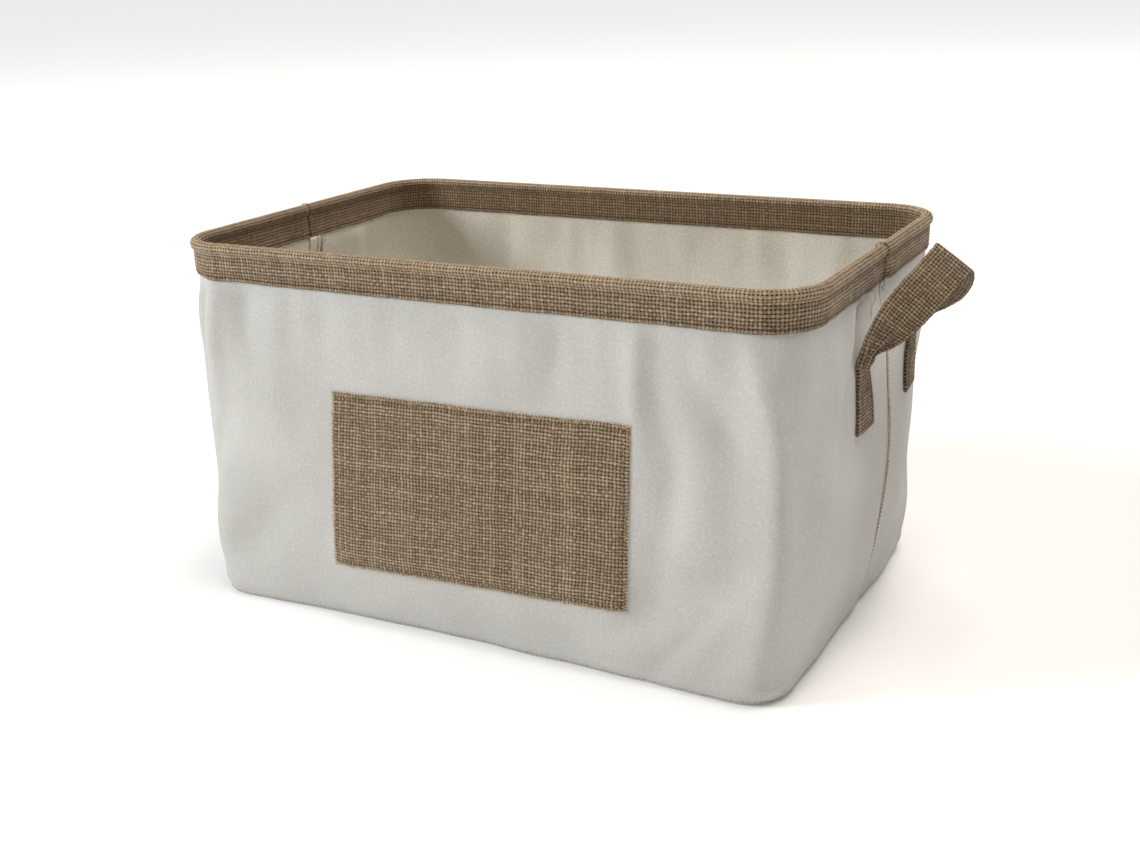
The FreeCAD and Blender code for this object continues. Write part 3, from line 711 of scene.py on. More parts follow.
def cloth_mesh(name, points, faces, uv, inside):
    """A smooth mesh with the cloth's UV map and its inside mark, both given for each point."""
    mesh = bpy.data.meshes.new(name)
    mesh.from_pydata(points.tolist(), [], faces)
    corners = np.array([point for face in faces for point in face])
    mesh.uv_layers.new(name="Cloth").data.foreach_set("uv", uv[corners].astype(np.float32).ravel())
    mark = mesh.attributes.new("inside", "FLOAT", "POINT")
    mark.data.foreach_set("value", np.asarray(inside, np.float32))
    mesh.polygons.foreach_set("use_smooth", np.ones(len(faces), bool))
    return mesh


def volume_of(points, faces):
    """Signed volume of a closed quad mesh: below zero where its faces point inwards."""
    a, b, c, d = (points[faces[:, k]] for k in range(4))
    return float((a * (np.cross(b, c) + np.cross(c, d))).sum())


def grid_normals(points):
    """Unit normals of a grid of points, from its two directions."""
    normal = np.cross(np.gradient(points, axis=1), np.gradient(points, axis=0))
    return normal / np.linalg.norm(normal, axis=-1, keepdims=True).clip(1e-12)


def weave_relief(rows, columns, relief):
    """Thread relief on a grid with two points to a thread: high on crossings, low in the gaps."""
    row, column = np.mgrid[0:rows, 0:columns]
    crossing = (row % 2 == 1) & (column % 2 == 1)
    gap = (row % 2 == 0) & (column % 2 == 0)
    return relief * (0.5 * crossing - 0.5 * gap)


def thread_count(distance, pitch):
    return max(2, round(distance / pitch))


def tangents(points):
    points = np.asarray(points, float)
    step = np.gradient(points, axis=0)
    return step / np.linalg.norm(step, axis=-1, keepdims=True).clip(1e-12)


def run_of(points):
    """Distance along a line of points, from its first point."""
    return np.concatenate([[0], np.cumsum(np.linalg.norm(np.diff(points, axis=0), axis=1))])


def sampled(values, run, wanted):
    """Rows of values at the wanted distances along their run."""
    return np.stack([np.interp(wanted, run, column) for column in values.T], -1)


def from_ends(count):
    """Steps from the nearer end, for each of count places in a row."""
    return np.minimum(np.arange(count), np.arange(count)[::-1])


def thread_uv(columns, rows):
    """UV points that count threads, on a grid with two steps to a thread."""
    return np.stack(np.meshgrid(np.linspace(0, columns, 2 * columns + 1),
                                np.linspace(0, rows, 2 * rows + 1)), -1)


def turned_to(normal, outwards):
    """The normals of a sheet, all reversed if they point away from outwards."""
    return -normal if (normal * outwards).sum() < 0 else normal


def round_trip(corners):
    """The sides of a closed shape, each as a pair of corners."""
    return list(zip(corners, corners[1:] + corners[:1]))


def seam_row(points):
    """A row of stitches that lie along their own line."""
    return points, tangents(points)


# --- stitches, by Geometry Nodes ---

def stitch_tree():
    """Lays one small rounded thread at even steps along a line, turned to the line's lay direction."""
    name = "Stitch row"
    if name in bpy.data.node_groups:
        return bpy.data.node_groups[name]
    tree = bpy.data.node_groups.new(name, "GeometryNodeTree")
    sockets = tree.interface
    sockets.new_socket("Line", in_out="INPUT", socket_type="NodeSocketGeometry")
    for label, kind in (("Pitch", "Float"), ("Length", "Float"), ("Radius", "Float"),
                        ("Unevenness", "Float"), ("Seed", "Int"), ("Finish", "Material")):
        sockets.new_socket(label, in_out="INPUT", socket_type=f"NodeSocket{kind}")
    sockets.new_socket("Stitches", in_out="OUTPUT", socket_type="NodeSocketGeometry")

    def add(kind, options=None, links=None):
        node = tree.nodes.new(kind)
        for key, value in (options or {}).items():
            setattr(node, key, value)
        for key, value in (links or {}).items():
            if isinstance(value, bpy.types.NodeSocket):
                tree.links.new(value, node.inputs[key])
            else:
                node.inputs[key].default_value = value
        return node

    given = add("NodeGroupInput").outputs
    line = add("GeometryNodeMeshToCurve", links={"Mesh": given["Line"]})
    steps = add("GeometryNodeResampleCurve", {"mode": "LENGTH"}, {"Curve": line.outputs["Curve"],
                                                                 "Length": given["Pitch"]})
    lay = add("GeometryNodeInputNamedAttribute", {"data_type": "FLOAT_VECTOR"}, {"Name": "lay"})
    turn = add("FunctionNodeAlignRotationToVector", {"axis": "X"}, {"Vector": lay.outputs["Attribute"]})
    half_length = add("ShaderNodeMath", {"operation": "MULTIPLY"}, {0: given["Length"], 1: 0.5})
    size = add("ShaderNodeCombineXYZ", links={"X": half_length.outputs[0], "Y": given["Radius"],
                                              "Z": given["Radius"]})
    ball = add("GeometryNodeMeshUVSphere", links={"Segments": 8, "Rings": 6, "Radius": 1.0})
    thread = add("GeometryNodeTransform", links={"Geometry": ball.outputs["Mesh"],
                                                 "Scale": size.outputs["Vector"]})
    laid = add("GeometryNodeInstanceOnPoints", links={
        "Points": steps.outputs["Curve"], "Instance": thread.outputs["Geometry"],
        "Rotation": turn.outputs["Rotation"]})
    less = add("ShaderNodeMath", {"operation": "MULTIPLY"}, {0: given["Unevenness"], 1: -1.0})
    tilt = add("FunctionNodeRandomValue", {"data_type": "FLOAT_VECTOR"}, {
        "Seed": given["Seed"]})
    tree.links.new(less.outputs[0], tilt.inputs[0])
    tree.links.new(given["Unevenness"], tilt.inputs[1])
    tipped = add("GeometryNodeRotateInstances", links={"Instances": laid.outputs["Instances"],
                                                       "Rotation": tilt.outputs[0]})
    solid = add("GeometryNodeRealizeInstances", links={"Geometry": tipped.outputs["Instances"]})
    smooth = add("GeometryNodeSetShadeSmooth", links={"Geometry": solid.outputs["Geometry"]})
    coated = add("GeometryNodeSetMaterial", links={"Geometry": smooth.outputs["Geometry"],
                                                   "Material": given["Finish"]})
    end = add("NodeGroupOutput")
    tree.links.new(coated.outputs["Geometry"], end.inputs[0])
    return tree


def stitched(name, lines, material, pitch, stitch_length, radius, unevenness=0.12, seed=1):
    """One mesh of stitches along several lines, each a pair of points and lay directions."""
    mesh = bpy.data.meshes.new(name)
    all_points = np.concatenate([np.asarray(points, float) for points, lay in lines])
    all_lays = np.concatenate([np.asarray(lay, float) for points, lay in lines])
    edges = []
    first = 0
    for points, _ in lines:
        edges += [(first + i, first + i + 1) for i in range(len(points) - 1)]
        first += len(points)
    mesh.from_pydata(all_points.tolist(), edges, [])
    direction = mesh.attributes.new("lay", "FLOAT_VECTOR", "POINT")
    direction.data.foreach_set("vector", all_lays.astype(np.float32).ravel())
    obj = new_object(name, mesh, material)
    modifier = obj.modifiers.new("Stitch row", "NODES")
    tree = stitch_tree()
    modifier.node_group = tree
    values = {"Pitch": pitch, "Length": stitch_length, "Radius": radius, "Unevenness": unevenness,
              "Seed": seed, "Finish": material}
    for socket in tree.interface.items_tree:
        if socket.item_type == "SOCKET" and socket.in_out == "INPUT" and socket.name in values:
            modifier[socket.identifier] = values[socket.name]
    bpy.context.view_layer.update()
    graph = bpy.context.evaluated_depsgraph_get()
    made = bpy.data.meshes.new_from_object(obj.evaluated_get(graph))
    obj.modifiers.remove(modifier)
    obj.data = made
    made.name = name
    if not made.polygons:
        raise RuntimeError(f"{name} has no stitches")
    return obj


# --- pieces ---

def settings():
    return bpy.context.scene.storage_bin


def the_wall():
    return Wall(settings().cloth)


def root_piece(obj, slot, *nodes):
    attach(obj, "root")
    if nodes:
        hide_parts(*nodes)


def make_canvas_panel(end):
    """One side panel with half of each end wall, from the floor to its top edge inside the band."""
    wall, cloth = the_wall(), settings().cloth
    columns = int(2 * wall.half_lap() / cloth.grid) + 1
    foot = np.array([0, 0.7, 1.6, 2.8, 4.2, 5.8]) * MM
    heights = np.concatenate([foot, np.linspace(7.6 * MM, wall.top, int(wall.top / cloth.grid))])
    travel, height = np.meshgrid(np.linspace(-1, 1, columns), heights)
    outer, along = wall.surface(end, travel, height)
    inner, _ = wall.surface(end, travel, height, -wall.thickness)
    obj = closed_cloth(f"{END_NAMES[end]}_canvas", outer, inner, np.stack([along, height], -1),
                       MATERIALS["canvas"])
    root_piece(obj, "canvas", f"{END_NAMES[end]}_panel")
    2 * wall.half_lap()


def make_base():
    """The canvas base: round rings of points from its edge to its middle."""
    wall = the_wall()
    columns, rings = 121, 40
    front = np.linspace(-1, 1, columns)
    inset, lowest = -wall.thickness - 0.1 * MM, 0.3 * MM
    edge = np.concatenate([wall.surface(FRONT, front, lowest, inset)[0],
                           wall.surface(BACK, front[::-1][1:-1], lowest, inset)[0]])
    middle = edge.mean(axis=0)
    shares = np.linspace(1, 0, rings + 1)[:-1]
    points = middle + (edge - middle) * shares[:, None, None]
    lift = np.empty(points.shape[:2])
    for index in np.ndindex(lift.shape):
        x, y = points[index][:2]
        lift[index] = max(0.0, noise.noise(Vector((x * 13, y * 13, 5.0)))) * 0.9 * MM
    lift *= ease(1 - shares, 0, 0.12)[:, None]
    lower, upper = points.copy(), points.copy()
    lower[..., 2] = lift
    upper[..., 2] = lift + wall.thickness
    count = lower.shape[0] * lower.shape[1]
    index = np.arange(count).reshape(lower.shape[:2])
    after = np.roll(index, -1, axis=1)
    quads = np.stack([index[:-1], after[:-1], after[1:], index[1:]], -1).reshape(-1, 4)
    rim = np.stack([index[0], after[0], after[0] + count, index[0] + count], -1)
    faces = [*quads[:, ::-1].tolist(), *(quads + count).tolist(), *rim[:, ::-1].tolist()]
    bottom_middle, top_middle = 2 * count, 2 * count + 1
    for i in range(lower.shape[1]):
        j = (i + 1) % lower.shape[1]
        faces.append([int(index[-1, j]), int(index[-1, i]), bottom_middle])
        faces.append([int(index[-1, i]) + count, int(index[-1, j]) + count, top_middle])
    vertices = np.concatenate([lower.reshape(-1, 3), upper.reshape(-1, 3),
                               [[middle[0], middle[1], 0], [middle[0], middle[1], wall.thickness]]])
    # The upper face lies inside the bin, so it takes the inside colour with its painted bounce light.
    upper_face = vertices[:, 2] > 0.6 * wall.thickness
    mesh = cloth_mesh("base_canvas", vertices, faces, vertices[:, :2], upper_face)
    mesh.update()
    obj = new_object("base_canvas", mesh, MATERIALS["canvas"])
    signed = sum(p.center.dot(p.normal) * p.area for p in mesh.polygons)
    if signed < 0:
        mesh.flip_normals()
    root_piece(obj, "canvas", "base_panel")


def band_profile(wall, burlap):
    """The folded strip in section: pairs of distance out from the wire's line and height."""
    half, face = wall.thickness / 2, wall.thickness / 2 + burlap.thickness
    roll, z = burlap.channel, wall.wire_height
    drop = math.sqrt(roll ** 2 - face ** 2)
    tilt = math.atan2(drop, face)
    angles = np.linspace(-tilt, math.pi + tilt, 40)
    arc = np.stack([roll * np.cos(angles), z + roll * np.sin(angles)], -1)
    leg = np.linspace(wall.band_bottom, z - drop, 16)[:-1]
    outer_leg = np.stack([np.full(15, face), leg], -1)
    inner_leg = np.stack([np.full(15, -face), leg[::-1]], -1)
    line = np.concatenate([outer_leg, arc, inner_leg])
    run = run_of(line)
    pitch_count = thread_count(run[-1], burlap.pitch)
    wanted = np.linspace(0, run[-1], 2 * pitch_count + 1)
    fine = np.linspace(0, run[-1], 400)
    dense = sampled(line, run, fine)
    window = 17
    padded = np.pad(dense, ((window // 2, window // 2), (0, 0)), mode="edge")
    smooth = np.stack([np.convolve(padded[:, k], np.ones(window) / window, "valid") for k in range(2)], -1)
    smooth[0], smooth[-1] = dense[0], dense[-1]
    return sampled(smooth, fine, wanted), pitch_count


def make_band(end):
    """Half of the burlap band: a strip folded over the wire, with its threads in relief."""
    wall, burlap = the_wall(), settings().burlap
    profile, rows = band_profile(wall, burlap)
    lap = 2 * wall.half_lap()
    threads = thread_count(lap, burlap.pitch)
    travel = np.linspace(-1, 1, 2 * threads + 1)
    grid_travel, out = np.meshgrid(travel, profile[:, 0])
    height = np.broadcast_to(profile[:, 1][:, None], out.shape)
    half = wall.thickness / 2
    face, along = wall.surface(end, grid_travel, height, out - half)
    ragged = np.zeros(out.shape)
    for column, place in enumerate(along[0]):
        ragged[:, column] = 0.35 * MM * noise.noise(Vector((place * 300, end * 2.0, 1.0)))
    face[..., 2] += ragged * np.exp(-from_ends(len(profile)) / 3.0)[:, None]
    fold_middle, _ = wall.surface(end, grid_travel, wall.wire_height - 4 * MM, -half)
    normal = turned_to(grid_normals(face), face - fold_middle)
    bumps = weave_relief(*out.shape, burlap.relief)
    outer = face + normal * bumps[..., None]
    inner = face - normal * (burlap.thickness * 0.72)
    obj = closed_cloth(f"{END_NAMES[end]}_band", outer, inner, thread_uv(threads, rows), MATERIALS["band"])
    root_piece(obj, "burlap", f"{END_NAMES[end]}_rim_band")


STITCH_LINE_POINTS = 120

# How far each corner of the patch sits from its true rectangle, along and up.
PATCH_CORNERS = {
    "low_left": (-2.8 * MM, -1.9 * MM), "low_right": (-3.7 * MM, 4.2 * MM),
    "high_left": (1.7 * MM, -2.3 * MM), "high_right": (-2.1 * MM, 1.3 * MM),
}


def skewed(x, z):
    """The patch was sewn on by hand: its corners sit a few millimetres off a true rectangle."""
    low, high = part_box("front_patch")
    right, up = (x - low.x) / (high.x - low.x), (z - low.z) / (high.z - low.z)
    shares = {"low_left": (1 - right) * (1 - up), "low_right": right * (1 - up),
              "high_left": (1 - right) * up, "high_right": right * up}
    new_x = x + sum(share * PATCH_CORNERS[name][0] for name, share in shares.items())
    new_z = z + sum(share * PATCH_CORNERS[name][1] for name, share in shares.items())
    return new_x, new_z


def make_patch():
    """The burlap patch on the front, its edges a little uneven."""
    wall, burlap = the_wall(), settings().burlap
    low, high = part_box("front_patch")
    width, tall = high.x - low.x, high.z - low.z
    columns, rows = thread_count(width, burlap.pitch), thread_count(tall, burlap.pitch)
    x, z = np.meshgrid(np.linspace(low.x, high.x, 2 * columns + 1),
                       np.linspace(low.z, high.z, 2 * rows + 1))
    for index in np.ndindex(x.shape):
        place = Vector((x[index] * 40, z[index] * 40, 2.0))
        x[index] += 0.8 * MM * noise.noise(place)
        z[index] += 0.8 * MM * noise.noise(place + Vector((0, 0, 9)))
    jag = [0.5 * MM * noise.noise(Vector((i * 1.7, 0.3, 4.0))) for i in range(max(x.shape))]
    x[:, 0] += jag[:x.shape[0]]
    x[:, -1] -= jag[:x.shape[0]][::-1]
    z[0, :] += jag[:x.shape[1]]
    z[-1, :] -= jag[:x.shape[1]][::-1]
    x, z = skewed(x, z)
    travel = wall.travel_at(x)
    clearance = 0.15 * MM
    inner, _ = wall.surface(FRONT, travel, z, clearance)
    outer, _ = wall.surface(FRONT, travel, z, clearance + burlap.thickness)
    normal = turned_to(grid_normals(outer), np.array((0, -1, 0)))
    outer = outer + normal * weave_relief(*x.shape, burlap.relief)[..., None]
    edge = np.minimum(from_ends(x.shape[0])[:, None], from_ends(x.shape[1])[None, :])
    outer -= normal * (0.5 * MM * np.exp(-edge / 1.5))[..., None]
    obj = closed_cloth("patch", outer, inner, thread_uv(columns, rows), MATERIALS["patch"])
    root_piece(obj, "burlap", "front_patch")
    fray_patch(wall, burlap, low, high)


def round_patch(wall, low, high, spacing, out):
    """The four sides of a rectangle sewn on the patch, each as points that stand out from the canvas."""
    corners = [(low.x, low.z), (high.x, low.z), (high.x, high.z), (low.x, high.z)]
    sides = []
    for (x0, z0), (x1, z1) in round_trip(corners):
        count = int(math.hypot(x1 - x0, z1 - z0) / spacing) if spacing else STITCH_LINE_POINTS
        x, z = skewed(np.linspace(x0, x1, count), np.linspace(z0, z1, count))
        sides.append(wall.surface(FRONT, wall.travel_at(x), z, out)[0])
    return sides


def fray_patch(wall, burlap, low, high):
    """Cut thread ends that stand out round the patch's edge."""
    lines = [(side, np.cross(tangents(side), (0, -1, 0)))
             for side in round_patch(wall, low, high, 0.5 * MM, 0.8 * MM)]
    obj = stitched("patch_frayed_edge", lines, MATERIALS["yarn"], burlap.pitch * 0.93, 2.4 * MM, 0.32 * MM,
                   0.5, settings().sewing.seed)
    root_piece(obj, "burlap")


class MakeStage(Operator):
    """Sets the camera, the lights and the pale floor"""
    bl_idname = "storage_bin.stage"
    bl_label = "Stage"

    def execute(self, context):
        stage = settings().stage
        make_camera(context, stage)
        make_lights(context, stage)
        make_floor()
        return {"FINISHED"}


def make_camera(context, stage):
    azimuth, elevation, roll = stage.azimuth, stage.elevation, stage.roll
    back = Vector((math.sin(azimuth) * math.cos(elevation), -math.cos(azimuth) * math.cos(elevation),
                   math.sin(elevation)))
    right = (-back).cross(Vector((0, 0, 1))).normalized()
    up = right.cross(-back)
    tilted_right = right * math.cos(roll) + up * math.sin(roll)
    tilted_up = up * math.cos(roll) - right * math.sin(roll)
    camera = bpy.data.cameras.new("Camera")
    camera.lens = stage.lens
    camera.sensor_width = 36
    camera.clip_start = 0.01
    obj = bpy.data.objects.new("Camera", camera)
    context.scene.collection.objects.link(obj)
    turn = Matrix((tilted_right, tilted_up, back)).transposed().to_4x4()
    obj.matrix_world = Matrix.Translation(Vector(stage.aim) + back * stage.distance) @ turn
    context.scene.camera = obj


def make_lights(context, stage):
    cool, warm = (0.95, 0.985, 1.0), (1.0, 0.935, 0.86)
    for name, place, size, power, tint in (
            ("Key light", (-2.1, -1.45, 1.6), 1.2, stage.key_power, cool),
            ("Fill light", (0.64, 0.35, 3.5), 2.0, stage.fill_power, warm)):
        light = bpy.data.lights.new(name, "AREA")
        light.color = tint
        light.shape = "DISK"
        light.size = size
        light.energy = power
        obj = bpy.data.objects.new(name, light)
        context.scene.collection.objects.link(obj)
        direction = Vector((0, 0, 0.1)) - Vector(place)
        turn = direction.to_track_quat("-Z", "Y").to_matrix().to_4x4()
        obj.matrix_world = Matrix.Translation(place) @ turn
    world = bpy.data.worlds.new("White surround")
    world.use_nodes = True
    background = world.node_tree.nodes["Background"].inputs
    background["Color"].default_value = (1.0, 0.945, 0.885, 1)
    background["Strength"].default_value = stage.sky
    context.scene.world = world
    context.scene.view_settings.view_transform = "Standard"


def make_floor():
    half, drop = 60.0, -0.2 * MM
    mesh = bpy.data.meshes.new("studio_floor")
    corners = [(-half, -half, drop), (half, -half, drop), (half, half, drop), (-half, half, drop)]
    mesh.from_pydata(corners, [], [(0, 1, 2, 3)])
    new_object("studio_floor", mesh, floor_material())


class MakeCanvas(Operator):
    """Makes the two canvas side panels and the base"""
    bl_idname = "storage_bin.canvas"
    bl_label = "Canvas body"

    def execute(self, context):
        for end in (FRONT, BACK):
            make_canvas_panel(end)
        make_base()
        return {"FINISHED"}


class MakeRim(Operator):
    """Makes the burlap band and finishes the wire inside it"""
    bl_idname = "storage_bin.rim"
    bl_label = "Rim band and wire"

    def execute(self, context):
        for end in (FRONT, BACK):
            make_band(end)
        for node in ("rim_wire", "wire_ferrule"):
            mesh = frame["nodes"][node].data
            mesh.materials.clear()
            mesh.materials.append(MATERIALS["wire"])
        return {"FINISHED"}


class MakePatch(Operator):
    """Makes the burlap patch on the front"""
    bl_idname = "storage_bin.patch"
    bl_label = "Front patch"

    def execute(self, context):
        make_patch()
        return {"FINISHED"}


# --- straps ---

# A place on the strap: its centre, the direction of its width, its width and the depth of its pleats.
Station = namedtuple("Station", "centre across width pleat")


def spline(values, steps):
    """Catmull-Rom through rows of values, with so many steps to a span."""
    values = np.asarray(values, float)
    ends = np.concatenate([[2 * values[0] - values[1]], values, [2 * values[-1] - values[-2]]])
    t = np.linspace(0, 1, steps, endpoint=False)[:, None]
    rows = []
    for p0, p1, p2, p3 in zip(ends, ends[1:], ends[2:], ends[3:]):
        rows.append(0.5 * (2 * p1 + (p2 - p0) * t + (2 * p0 - 5 * p1 + 4 * p2 - p3) * t ** 2
                           + (3 * p1 - p0 - 3 * p2 + p3) * t ** 3))
    return np.concatenate([*rows, values[-1:]])


def hinge_of(side):
    name = f"{SIDE_NAMES[side]}_handle_swing"
    return Vector(next(joint for joint in frame["joints"] if joint["name"] == name)["pos_m"])


# The lean of each loop from upright, in degrees, and the places along its near leg after the sewn end.
# Each place has its distance out from the loop's plane, along and up the loop in millimetres, the share
# of the loop's plane in the direction of its width, its width as a share and the depth of its pleats.
LOOP_LEAN = {RIGHT: 35, LEFT: 150}
LOOP_PLACES = {
    RIGHT: ((-0.5, -1, 2, (1, 0.36), 0.56, 1.1), (0, 6, 11, (0.45, 0.8), 0.74, 0.7),
            (0, 16, 23, (0.1, 1), 0.94, 0.25), (0, 27, 34, (0, 1), 1, 0.05), (0, 38, 45, (0, 1), 1, 0),
            (0, 45.5, 52.5, (0, 1), 1, 0)),
    LEFT: ((0, 4, 5, (1, 0.28), 0.60, 0.9), (0, 12, 15, (0.35, 1), 0.8, 0.5),
           (0, 24, 27, (0, 1), 0.97, 0.1), (0, 37, 42, (0, 1), 1, 0), (0, 45, 51.5, (0, 1), 1, 0)),
}
LOOP_TOP = 55.5 * MM


def strap_stations(side, wall):
    """The near half of a strap, from its sewn end at the front to the top of its loop."""
    end_low, end_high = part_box(f"{SIDE_NAMES[side]}_handle_front_end")
    hinge = hinge_of(side)
    y = (end_low.y + end_high.y) / 2
    width = end_high.y - end_low.y
    lean = math.radians(LOOP_LEAN[side])
    out_dir = Vector((side * math.cos(lean), 0, -math.sin(lean)))
    up_dir = Vector((side * math.sin(lean), 0, math.cos(lean)))
    flat = Vector((0, 1, 0))

    def on_wall(z, out):
        return Vector((float(wall.side_face(side, y, z, out)[0]), y, z))

    def in_loop(across, place_y, up):
        return Vector((hinge.x, place_y, hinge.z)) + out_dir * across + up_dir * up

    sewn = 1.15 * MM
    stations = [Station(on_wall(end_low.z + up * MM, sewn) + flat * slip * MM, flat, width * share, pleat)
                for up, slip, share, pleat in ((-3, 4, 1.1, 0.0), (8, 4, 0.97, 0.1), (19, 2, 0.82, 0.5))]
    if side == RIGHT:
        stations.append(Station(on_wall(end_high.z - 2 * MM, sewn + 0.6 * MM) - flat * MM,
                                flat + Vector((side * 0.30, 0, 0)), width * 0.62, 1.0))
    else:
        fold = Vector((hinge.x - 0.5 * MM, y, hinge.z + 1.0 * MM))
        stations += [Station(on_wall(end_high.z - 1 * MM, sewn + 0.2 * MM), flat, width * 0.64, 1.0),
                     Station(fold, flat, width * 0.58, 0.8)]
    for out, along, up, (flat_share, out_share), share, pleat in LOOP_PLACES[side]:
        stations.append(Station(in_loop(out * MM, y + along * MM, up * MM),
                                flat * flat_share + out_dir * out_share, width * share, pleat))
    stations.append(Station(in_loop(0.0, 0.0, LOOP_TOP), out_dir, width, 0.0))
    return stations


# How far the far leg of each strap stands out beside the near leg, from the crest down, in millimetres.
FAR_LEG_SHIFTS = {RIGHT: (2.5, 4.5, 4.5, 2.5, 0.8, 0, 0, 0, 0, 0), LEFT: (1, 1.5, 1, 0, 0, 0, 0, 0, 0, 0)}


def clear_of_wall(wall, side, points, gap, hinge_height):
    """Lays the sewn part of a strap on the wall and keeps the rest of it off the wall and the band."""
    y, z = points[..., 1], points[..., 2]
    face = np.abs(wall.side_face(side, y, np.minimum(z, wall.wire_height), 0.0)[..., 0])
    face = face + gap + 2.6 * MM * ease(z, wall.band_bottom - 6 * MM, wall.band_bottom)
    reach = np.abs(points[..., 0])
    laid = ease(z, hinge_height - 2 * MM, hinge_height - 10 * MM) * (np.abs(y) > 30 * MM)
    near_wall = reach < face + 12 * MM
    kept = np.maximum(reach, face)
    points[..., 0] = side * np.where(near_wall, laid * face + (1 - laid) * kept, kept)
    return points


def make_strap(side):
    """One strap: sewn end, gathered waist, broad loop and back down to the other sewn end."""
    wall, burlap = the_wall(), settings().burlap
    near = strap_stations(side, wall)
    far = []
    for station, shift in zip(near[-2::-1], FAR_LEG_SHIFTS[side]):
        centre, across = (Vector((v.x, -v.y, v.z)) for v in (station.centre, station.across))
        far.append(Station(centre + near[-1].across * shift * MM, across, station.width, station.pleat))
    sewn_end = Vector((0, -4 * MM if side == RIGHT else 0, 0))
    far[-3:] = [s._replace(centre=s.centre + sewn_end) for s in far[-3:]]
    stations = near + far
    rows = [(*s.centre, *s.across.normalized(), s.width, s.pleat) for s in stations]
    dense = spline(rows, 24)
    run = run_of(dense[:, :3])
    threads = thread_count(run[-1], burlap.strap_pitch)
    wanted = np.linspace(0, run[-1], 2 * threads + 1)
    line = sampled(dense, run, wanted)
    centre, across = line[:, :3], line[:, 3:6]
    across = across / np.linalg.norm(across, axis=-1, keepdims=True)
    width, pleat = line[:, 6], line[:, 7]
    along = tangents(centre)
    facing = -np.cross(along, across)
    facing = facing / np.linalg.norm(facing, axis=-1, keepdims=True)
    full_width = width.max()
    columns = thread_count(full_width, burlap.strap_pitch)
    share = np.linspace(-0.5, 0.5, 2 * columns + 1)
    wander = np.array([noise.noise(Vector((w * 90, 3.3 * side, 0.0))) for w in wanted])
    pleats = np.sin(share[None, :] * 2 * math.pi * 2.4 + 0.7) * pleat[:, None] * 1.15 * MM
    curl = (share[None, :] ** 2) * (wander[:, None] * 3.0 * MM)
    ragged = np.array([[noise.noise(Vector((w * 420, edge * 2, 8.0 + side))) for edge in (-1, 1)]
                       for w in wanted])
    reach = share[None, :] * width[:, None]
    reach[:, 0] += ragged[:, 0] * 0.5 * MM
    reach[:, -1] += ragged[:, 1] * 0.5 * MM
    lift = pleats + curl * ease(width, 0.8 * full_width, full_width)[:, None]
    middle = (centre[:, None, :] + across[:, None, :] * reach[..., None]
              + facing[:, None, :] * lift[..., None])
    hinge = hinge_of(side)
    middle = clear_of_wall(wall, side, middle, 1.2 * MM, hinge.z)
    gathered = ease(middle[..., 2], hinge.z - 22 * MM, hinge.z - 8 * MM)
    middle[..., 0] += side * np.abs(pleats * 0.6) * gathered
    normal = turned_to(grid_normals(middle), facing[:, None, :])
    thick = normal * (0.8 * MM + weave_relief(*middle.shape[:2], burlap.relief)[..., None])
    outer, inner = middle + thick, middle - thick
    uv = thread_uv(columns, threads)
    name = SIDE_NAMES[side]
    if side == RIGHT:
        obj = closed_cloth(f"{name}_strap", outer, inner, uv, MATERIALS["strap"])
        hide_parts(f"{name}_handle_front_end", f"{name}_handle_back_end", f"{name}_handle_loop")
        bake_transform(obj)
        return
    # The hanging strap lies on itself beside its hinge, so it is made in three pieces, split at the folds.
    front_fold, back_fold = (int(np.argmin(np.linalg.norm(centre - np.array(fold.centre), axis=1)))
                             for fold in (near[4], far[-5]))
    for piece, body, rows in (("front_end", "root", slice(0, front_fold + 1)),
                              ("loop", f"{name}_handle", slice(front_fold, back_fold + 1)),
                              ("back_end", "root", slice(back_fold, None))):
        obj = closed_cloth(f"{name}_strap_{piece}", outer[rows], inner[rows], uv[rows], MATERIALS["strap"])
        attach(obj, body)
        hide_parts(f"{name}_handle_{piece}")


class MakeStraps(Operator):
    """Makes the burlap strap handle on each end"""
    bl_idname = "storage_bin.straps"
    bl_label = "Strap handles"

    def execute(self, context):
        for side in (RIGHT, LEFT):
            make_strap(side)
        return {"FINISHED"}


# --- sewing ---

# Pitch and length of the stitches up a side seam or a band seam, and of those on the strap ends.
SEAM_PITCH, SEAM_STITCH = 2.4 * MM, 2.5 * MM
STRAP_PITCH, STRAP_STITCH = 2.6 * MM, 2.0 * MM
# How far the sewn end of a strap stands out from the wall: its gap, its thickness and half a thread.
STRAP_OUT = 1.2 * MM + 0.8 * MM + 0.36 * MM


def run_round(wall, height, out):
    """A closed run round the bin at one height, as two lines."""
    travel = np.linspace(-0.998, 0.998, 500)
    return [seam_row(wall.surface(end, travel, height, out)[0]) for end in (FRONT, BACK)]


def run_up(wall, side, out, shift):
    """A run up the middle of an end wall, shift along the wall from the seam, on the back panel."""
    height = np.linspace(6 * MM, wall.band_bottom, 160)
    return wall.surface(BACK, side * (1 - shift / wall.half_lap()), height, out)[0]


